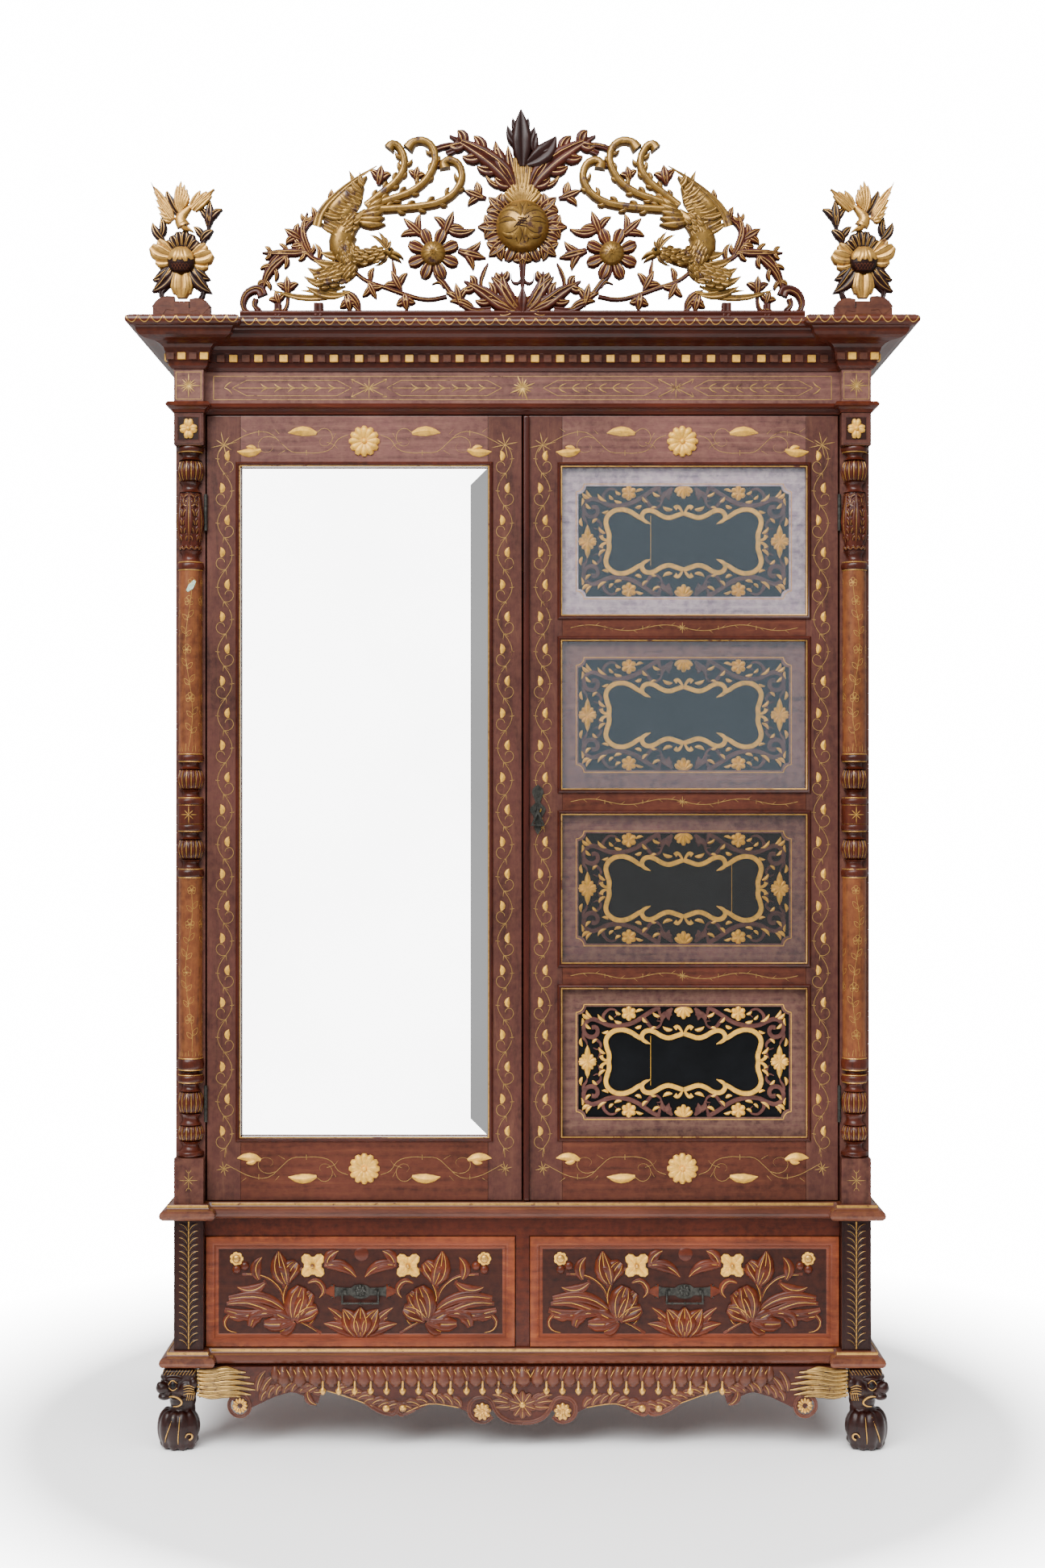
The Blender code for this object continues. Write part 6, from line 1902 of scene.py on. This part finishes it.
def makeColumn(side, sign):
    axisX = sign * column["axisX"]
    origin = (axisX, column["axisY"], columnLow.z)
    core = turnColumn(f"columnTurned_{side}", axisX, "turned")
    place(core, "carcass")
    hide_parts(f"column_{side}")
    shafts = []
    for kind, z0, z1 in turnings:
        if kind == "shaft":
            centre = (axisX, column["axisY"], columnLow.z + (z0 + z1) / 2)
            shafts.append(rod(centre, column["radius"] * 0.86 + 0.0003, z1 - z0 - 0.001, 40))
    place(dress(joined(f"columnShafts_{side}", shafts, 50), "shaft"), "carcass")

    circle = 2 * math.pi * column["radius"] * 0.95 * 1000
    reeds, grooves, leaves, rims = [], [], [], []
    for kind, z0, z1 in turnings:
        a, b = z0 * 1000, z1 * 1000
        if kind == "ball":
            for i in range(column["reeds"]):
                x = (i / column["reeds"] - 0.5) * circle
                reeds.append(stroke([(x, a + 1.5), (x, (a + b) / 2), (x, b - 1.5)], 4.5, "swell", -0.4))
                grooves.append(stroke([(x + circle / 32, a + 3), (x + circle / 32, (a + b) / 2),
                    (x + circle / 32, b - 3)], 1, "swell", 0.9))
        if kind == "vase":
            for i in range(6):
                x = (i / 6 - 0.5) * circle
                leaves += frond([(x, b - 4), (x, (a + b) / 2), (x, a + 14)], 9.5, 5, 17, 34, 0.8)
                for s in (-1, 1):
                    cx = x + s * 7.5
                    leaves.append(stroke([(x + s * 1.5, b - 4), (cx + s * 4, b - 10),
                        (cx + s * 4.5, b - 22), (cx - s * 2, b - 27), (cx - s * 3, b - 19), (cx, b - 17)],
                            3.6, "stem", 1.2))
                leaves.append(stroke([(x - 13, a + 3), (x - 6, a + 8), (x, a + 3)], 4, "swell", 2))
                leaves.append(stroke([(x, a + 3), (x + 6, a + 8), (x + 13, a + 3)], 4, "swell", 2))
        if kind == "ring" and z0 > 0.01:
            rims += [(z0, 0.88), (z1, 0.88)]
    carved = [wrapped(carve(f"columnReeds_{side}", reeds, "round", "turned", origin), axisX),
              wrapped(carve(f"columnLeaves_{side}", leaves, "hollow", "turned", origin), axisX)]
    for item in carved:
        place(item, "carcass")
    lines = veins(leaves, "hollow", 0.6, (0,), 3, 0.3) + grooves
    drumStar = star(0, 659, 17, 0, 8, 1.2) + star(circle / 3, 659, 17, 0, 8, 1.2) + star(-circle / 3, 659,
        17, 0, 8, 1.2)
    threads = wrapped(carve(f"columnThreads_{side}", lines + drumStar, "vein", "gilt", origin,
        fineness=3), axisX)
    drawing = shaftDrawing(192, 536, 1 if sign < 0 else 2) + shaftDrawing(777, 1127, 0 if sign < 0 else 3)
    engraved = wrapped(carve(f"columnDrawing_{side}", drawing, "vein", "gilt", origin, fineness=3),
        axisX)
    place(threads, "carcass")
    place(engraved, "carcass")
    rings = []
    for z, share in rims:
        bpy.ops.mesh.primitive_torus_add(major_segments=40, minor_segments=6,
            major_radius=column["radius"] * share, minor_radius=0.0011,
                                         location=(axisX, column["axisY"], columnLow.z + z))
        rings.append(bake(bpy.context.object))
    place(dress(joined(f"columnRims_{side}", rings), "gilt"), "carcass")

    # blocks above and below: a sunk square with a gilt flower, and an engraved star
    blockZ = (1.923 + 1.985) / 2
    y = stepY
    blockFrame = moulding(f"blockFrame_{side}", axisX - 0.0265, blockZ - 0.0285, axisX + 0.0265,
        blockZ + 0.0285, y,
                      [(0, -0.5), (0, 0.6), (1, 1.6), (6, 1.6), (7.5, 0.2), (7.5, -0.5)], "stile")
    ground = block(f"blockGround_{side}", (axisX - 0.020, y - 0.0003, blockZ - 0.022),
        (axisX + 0.020, y + 0.001, blockZ + 0.022))
    petals = []
    for i in range(4):
        a = math.radians(90 * i)
        for spread in (-0.26, 0.26):
            petals.append(leaflet((0, 0), stepped((0, 0), a + spread, 19 if i % 2 else 16.5), 5.6, 0, 0.6,
                "petal"))
    petals += blossom((0, 0), 4, 13, 4, 2.2, 45, 0.2, "leaf")
    flower = carve(f"blockFlower_{side}", petals, "round", "brightGilt",
        (axisX, y - 0.0003, blockZ), fineness=2)
    heart = dress(knob(f"blockHeart_{side}", (axisX, y - 0.0048, blockZ), (0.0042, 0.003, 0.0042), 12, 8),
        "brightGilt")
    place(blockFrame, "carcass")
    place(dress(ground, "darkCarved"), "carcass")
    place(flower, "carcass")
    place(heart, "carcass")
    low = star(0, 0, 18, 0, 8, 1) + drawn(([(-5, -20), (0, -14), (5, -20)], 0.6),
        ([(-5, 20), (0, 14), (5, 20)], 0.6))
    mark = carve(f"blockStar_{side}", low, "vein", "oldGilt", (axisX, y, 0.513), fineness=2)
    place(mark, "carcass")


makeColumn("left", -1)
makeColumn("right", 1)


def makeChip():
    # a shimmering chip of shell stuck on the left shaft
    looks["pearl"], tree, shader, where = startMaterial("pearlShell")
    swirl = addNode(tree, "ShaderNodeTexNoise", [("Vector", where)], Scale=160, Detail=3, Distortion=1.5)
    tree.links.new(ramp(tree, swirl.outputs["Fac"],
        [(0.35, (0.75, 0.80, 0.62)), (0.5, (0.30, 0.62, 0.42)), (0.62, (0.80, 0.86, 0.80))]),
            shader.inputs["Base Color"])
    shader.inputs["Roughness"].default_value = 0.2
    axisX = -column["axisX"]
    origin = (axisX, column["axisY"], columnLow.z)
    patch = [stroke([(-4, 1088), (4, 1096), (13, 1108)], 6.5, "petal", 0.1)]
    chip = wrapped(carve("shellChip", patch, "flat", "pearl", origin), axisX)
    place(chip, "carcass")


makeChip()


# cornice: dentils, engraved top band and frieze
print("cornice")
cornice = {"dentilPitch": 0.024, "dentilWidth": 0.0155, "dentilTall": 0.0135, "dentilZ": 2.0837}


def dentilRow(x0, x1, y, depth, first, axis="x"):
    # alternate gilt and dark teeth between two places along a line
    gilt, dark = [], []
    count = max(1, round((x1 - x0) / cornice["dentilPitch"]))
    pitch = (x1 - x0) / count
    z0 = cornice["dentilZ"]
    for i in range(count):
        a = x0 + (i + 0.5) * pitch - cornice["dentilWidth"] / 2
        b = a + cornice["dentilWidth"]
        low, high = ((a, y - depth, z0), (b, y + 0.002, z0 + cornice["dentilTall"]))
        if axis == "y":
            side = 1 if y > 0 else -1
            inner, outer = sorted((y - side * 0.002, y + side * depth))
            low, high = (inner, a, z0), (outer, b, z0 + cornice["dentilTall"])
        tooth = block("dentil", low, high, 0.0008, 1)
        (gilt if (i + first) % 2 else dark).append(tooth)
    return gilt, dark


def makeDentils():
    gilt, dark = [], []
    for x0, x1, y, first in ((-0.592, 0.592, -0.2138, 0), (-0.6835, -0.5975, -0.2398, 0),
            (0.5975, 0.6835, -0.2398, 0)):
        g, d = dentilRow(x0, x1, y, 0.0055, first)
        gilt += g
        dark += d
    for x in (-0.6815, 0.6815):
        g, d = dentilRow(-0.236, 0.30, x, 0.0045, 1, "y")
        gilt += g
        dark += d
    place(dress(joined("dentilsGilt", gilt, 0), "brightGilt"), "carcass")
    place(dress(joined("dentilsDark", dark, 0), "carved"), "carcass")


def makeTopBand():
    # gilt half-moon cuts round the top roll
    zMiddle = 2.1485
    def lunettes(x0, x1):
        lines = []
        count = round((x1 - x0) / 25)
        pitch = (x1 - x0) / count
        for i in range(count):
            a = x0 + i * pitch
            lines.append(stroke([(a + 1, 5.5), (a + pitch * 0.22, -2.5), (a + pitch * 0.5, -6),
                (a + pitch * 0.78, -2.5), (a + pitch - 1, 5.5)], 0.9))
            lines.append(stroke([(a, 6.5), (a, 1)], 0.8, "taper"))
        return lines
    # the roll stands proud in the middle of its height, so the cuts follow its round
    roll = lambda x, z: -0.0085 + math.sqrt(max(0, 0.0093 ** 2 - z ** 2))
    pieces = [carve("lunettesMiddle", lunettes(-530, 530), "vein", "gilt",
        (0, corniceLow.y + 0.026 - 0.0003, zMiddle), 0, roll, 3)]
    for s in (-1, 1):
        ends = sorted((s * 533, s * 747))
        pieces.append(carve(f"lunettesEnd{s}", lunettes(*ends), "vein", "gilt",
            (0, corniceLow.y - 0.0003, zMiddle), 0, roll, 3))
    place(joined("corniceLunettes", pieces, 50), "carcass")


def makeFrieze():
    low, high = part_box("frieze_frame")
    y, zc = low.y + 0.026, (low.z + high.z) / 2 * 1000
    origin = (0, y, 0)
    lines = []
    # border with pointed breaks
    w, h = 596, 22.5
    for s in (-1, 1):
        lines += [stroke([(-w, zc + s * h), (-w / 2, zc + s * h), (0, zc + s * h), (w / 2, zc + s * h),
            (w, zc + s * h)], 0.8)]
        lines += [stroke([(s * w, zc - h), (s * w, zc), (s * w, zc + h)], 0.8)]
        # long hexagon panels between the stars
        for a, b in ((40, 262), (330, 560)):
            lines += drawn(([(s * a, zc), (s * (a + 28), zc + 15)], 0.7),
                ([(s * (a + 28), zc + 15), (s * (b - 28), zc + 15)], 0.7),
                      ([(s * (b - 28), zc + 15), (s * b, zc)], 0.7),
                      ([(s * b, zc), (s * (b - 28), zc - 15)], 0.7),
                      ([(s * (b - 28), zc - 15), (s * (a + 28), zc - 15)], 0.7),
                      ([(s * (a + 28), zc - 15), (s * a, zc)], 0.7))
            lines.append(stroke([(s * (a + 12), zc), (s * (a + b) / 2, zc), (s * (b - 12), zc)], 0.8))
            n = int((b - a - 50) / 26)
            for i in range(n):
                x = a + 30 + i * 26
                lines += leaflets(((s * x, zc), (s * (x + 15), zc + 8.5), 1.5, 0.1),
                    ((s * x, zc), (s * (x + 15), zc - 8.5), 1.5, -0.1))
        # crossed arrows
        x = s * 296
        for dx, dz in ((34, 17), (34, -17)):
            lines += [stroke([(x - dx, zc - dz), (x + dx, zc + dz)], 1)]
            for e in (-1, 1):
                lines += drawn(([(x + e * dx, zc + e * dz), (x + e * (dx - 9), zc + e * dz)], 0.9,
                    "taper"),
                          ([(x + e * dx, zc + e * dz), (x + e * (dx - 4), zc + e * dz * 0.45)], 0.9,
                              "taper"))
        lines += star(x, zc, 20, 0, 8, 1.1)
        lines += [leaflet((s * 575, zc), (s * 560, zc + k * 12), 1.6, 0.1) for k in (-1, 1)]
    lines += star(0, zc, 26, 22.5, 8, 2.4) + star(0, zc, 21, 0, 8, 1.4)
    middle = carve("friezeLines", lines, "vein", "oldGilt", origin, fineness=2)
    ends = []
    for s in (-1, 1):
        x = s * 640.25
        ends += star(x, zc, 24, 0, 8, 1.6) + star(x, zc, 16, 22.5, 8, 1)
        for a, b in (((-24, -26), (24, -26)), ((24, -26), (24, 26)), ((24, 26), (-24, 26)),
                ((-24, 26), (-24, -26))):
            ends.append(stroke([(x + a[0], zc + a[1]), (x + b[0], zc + b[1])], 0.7))
    blocks = carve("friezeStars", ends, "vein", "oldGilt", (0, low.y, 0), fineness=2)
    place(joined("friezeEngraving", [middle, blocks], 50), "carcass")


makeDentils()
makeTopBand()
makeFrieze()


# room, light and camera
print("stage")
room = {
    "floorSize": 8, "cameraBack": 4.2, "cameraHeight": 1.273, "lens": 50,
    "roomLight": 0.52, "backdrop": 16, "sun": 3,
    # name, place, aim, width, height, power, colour, pieces it reaches (none for all)
    "lamps": [
        ("keyLamp", (-2.6, -3.4, 3.4), (0, 0, 1.4), 2, 2, 60, (1, 1, 1), ()),
        ("highLamp", (-0.3, -1.9, 3.3), (0, 0, 2.1), 2.4, 0.5, 34, (1, 1, 1), ()),
        ("mirrorCard", (-1.35, -8, 1.5), (-1.35, 0, 1.5), 2.9, 6.2, 470, (1, 1, 1), ("mirrorGlass",)),
        ("paneCard", (1, -8, 2.2), (1, 0, 2.2), 2.2, 2.2, 16, (0.60, 0.87, 1.08),
            ("glass_pane_1", "glass_pane_2")),
        ("floorLamp", (0, -1.5, 6), (0, -1.5, 0), 9, 9, 1250, (1, 1, 1), ("floor",)),
    ],
}


def makeStage():
    bpy.ops.mesh.primitive_plane_add(size=room["floorSize"], location=(0, 0, 0))
    floor = bpy.context.object
    floor.name = "floor"
    looks["floor"] = makeFloor("paleFloor")
    dress(floor, "floor")

    # a white room: softer light than the eye sees behind the piece
    world = bpy.context.scene.world or bpy.data.worlds.new("studio")
    bpy.context.scene.world = world
    world.use_nodes = True
    tree = world.node_tree
    background = tree.nodes["Background"]
    background.inputs["Color"].default_value = (1, 1, 1, 1)
    seen = tree.nodes.new("ShaderNodeLightPath").outputs["Is Camera Ray"]
    strength = remapped(tree, seen, (0, 1), (room["roomLight"], room["backdrop"]))
    tree.links.new(strength, background.inputs["Strength"])

    for name, where, aim, width, height, power, colour, only in room["lamps"]:
        light = bpy.data.lights.new(name, "AREA")
        light.shape = "RECTANGLE"
        light.size, light.size_y = width, height
        light.energy = power
        light.color = colour
        lamp = added(name, light)
        lamp.location = where
        lamp.rotation_euler = (Vector(aim) - Vector(where)).to_track_quat("-Z", "Y").to_euler()
        if only:
            reached = bpy.data.collections.new(name + "Reach")
            for label in only:
                if label in bpy.data.objects:
                    reached.objects.link(bpy.data.objects[label])
            lamp.light_linking.receiver_collection = reached
    light = bpy.data.lights.new("skyLamp", "SUN")
    light.energy = room["sun"]
    light.angle = math.radians(40)
    added("skyLamp", light).rotation_euler = (math.radians(48), 0, math.radians(-24))

    camera = added("camera", bpy.data.cameras.new("camera"))
    camera.data.lens = room["lens"]
    camera.location = (0, faceY - room["cameraBack"], room["cameraHeight"])
    camera.rotation_euler = (math.pi / 2, 0, 0)
    bpy.context.scene.camera = camera


makeStage()
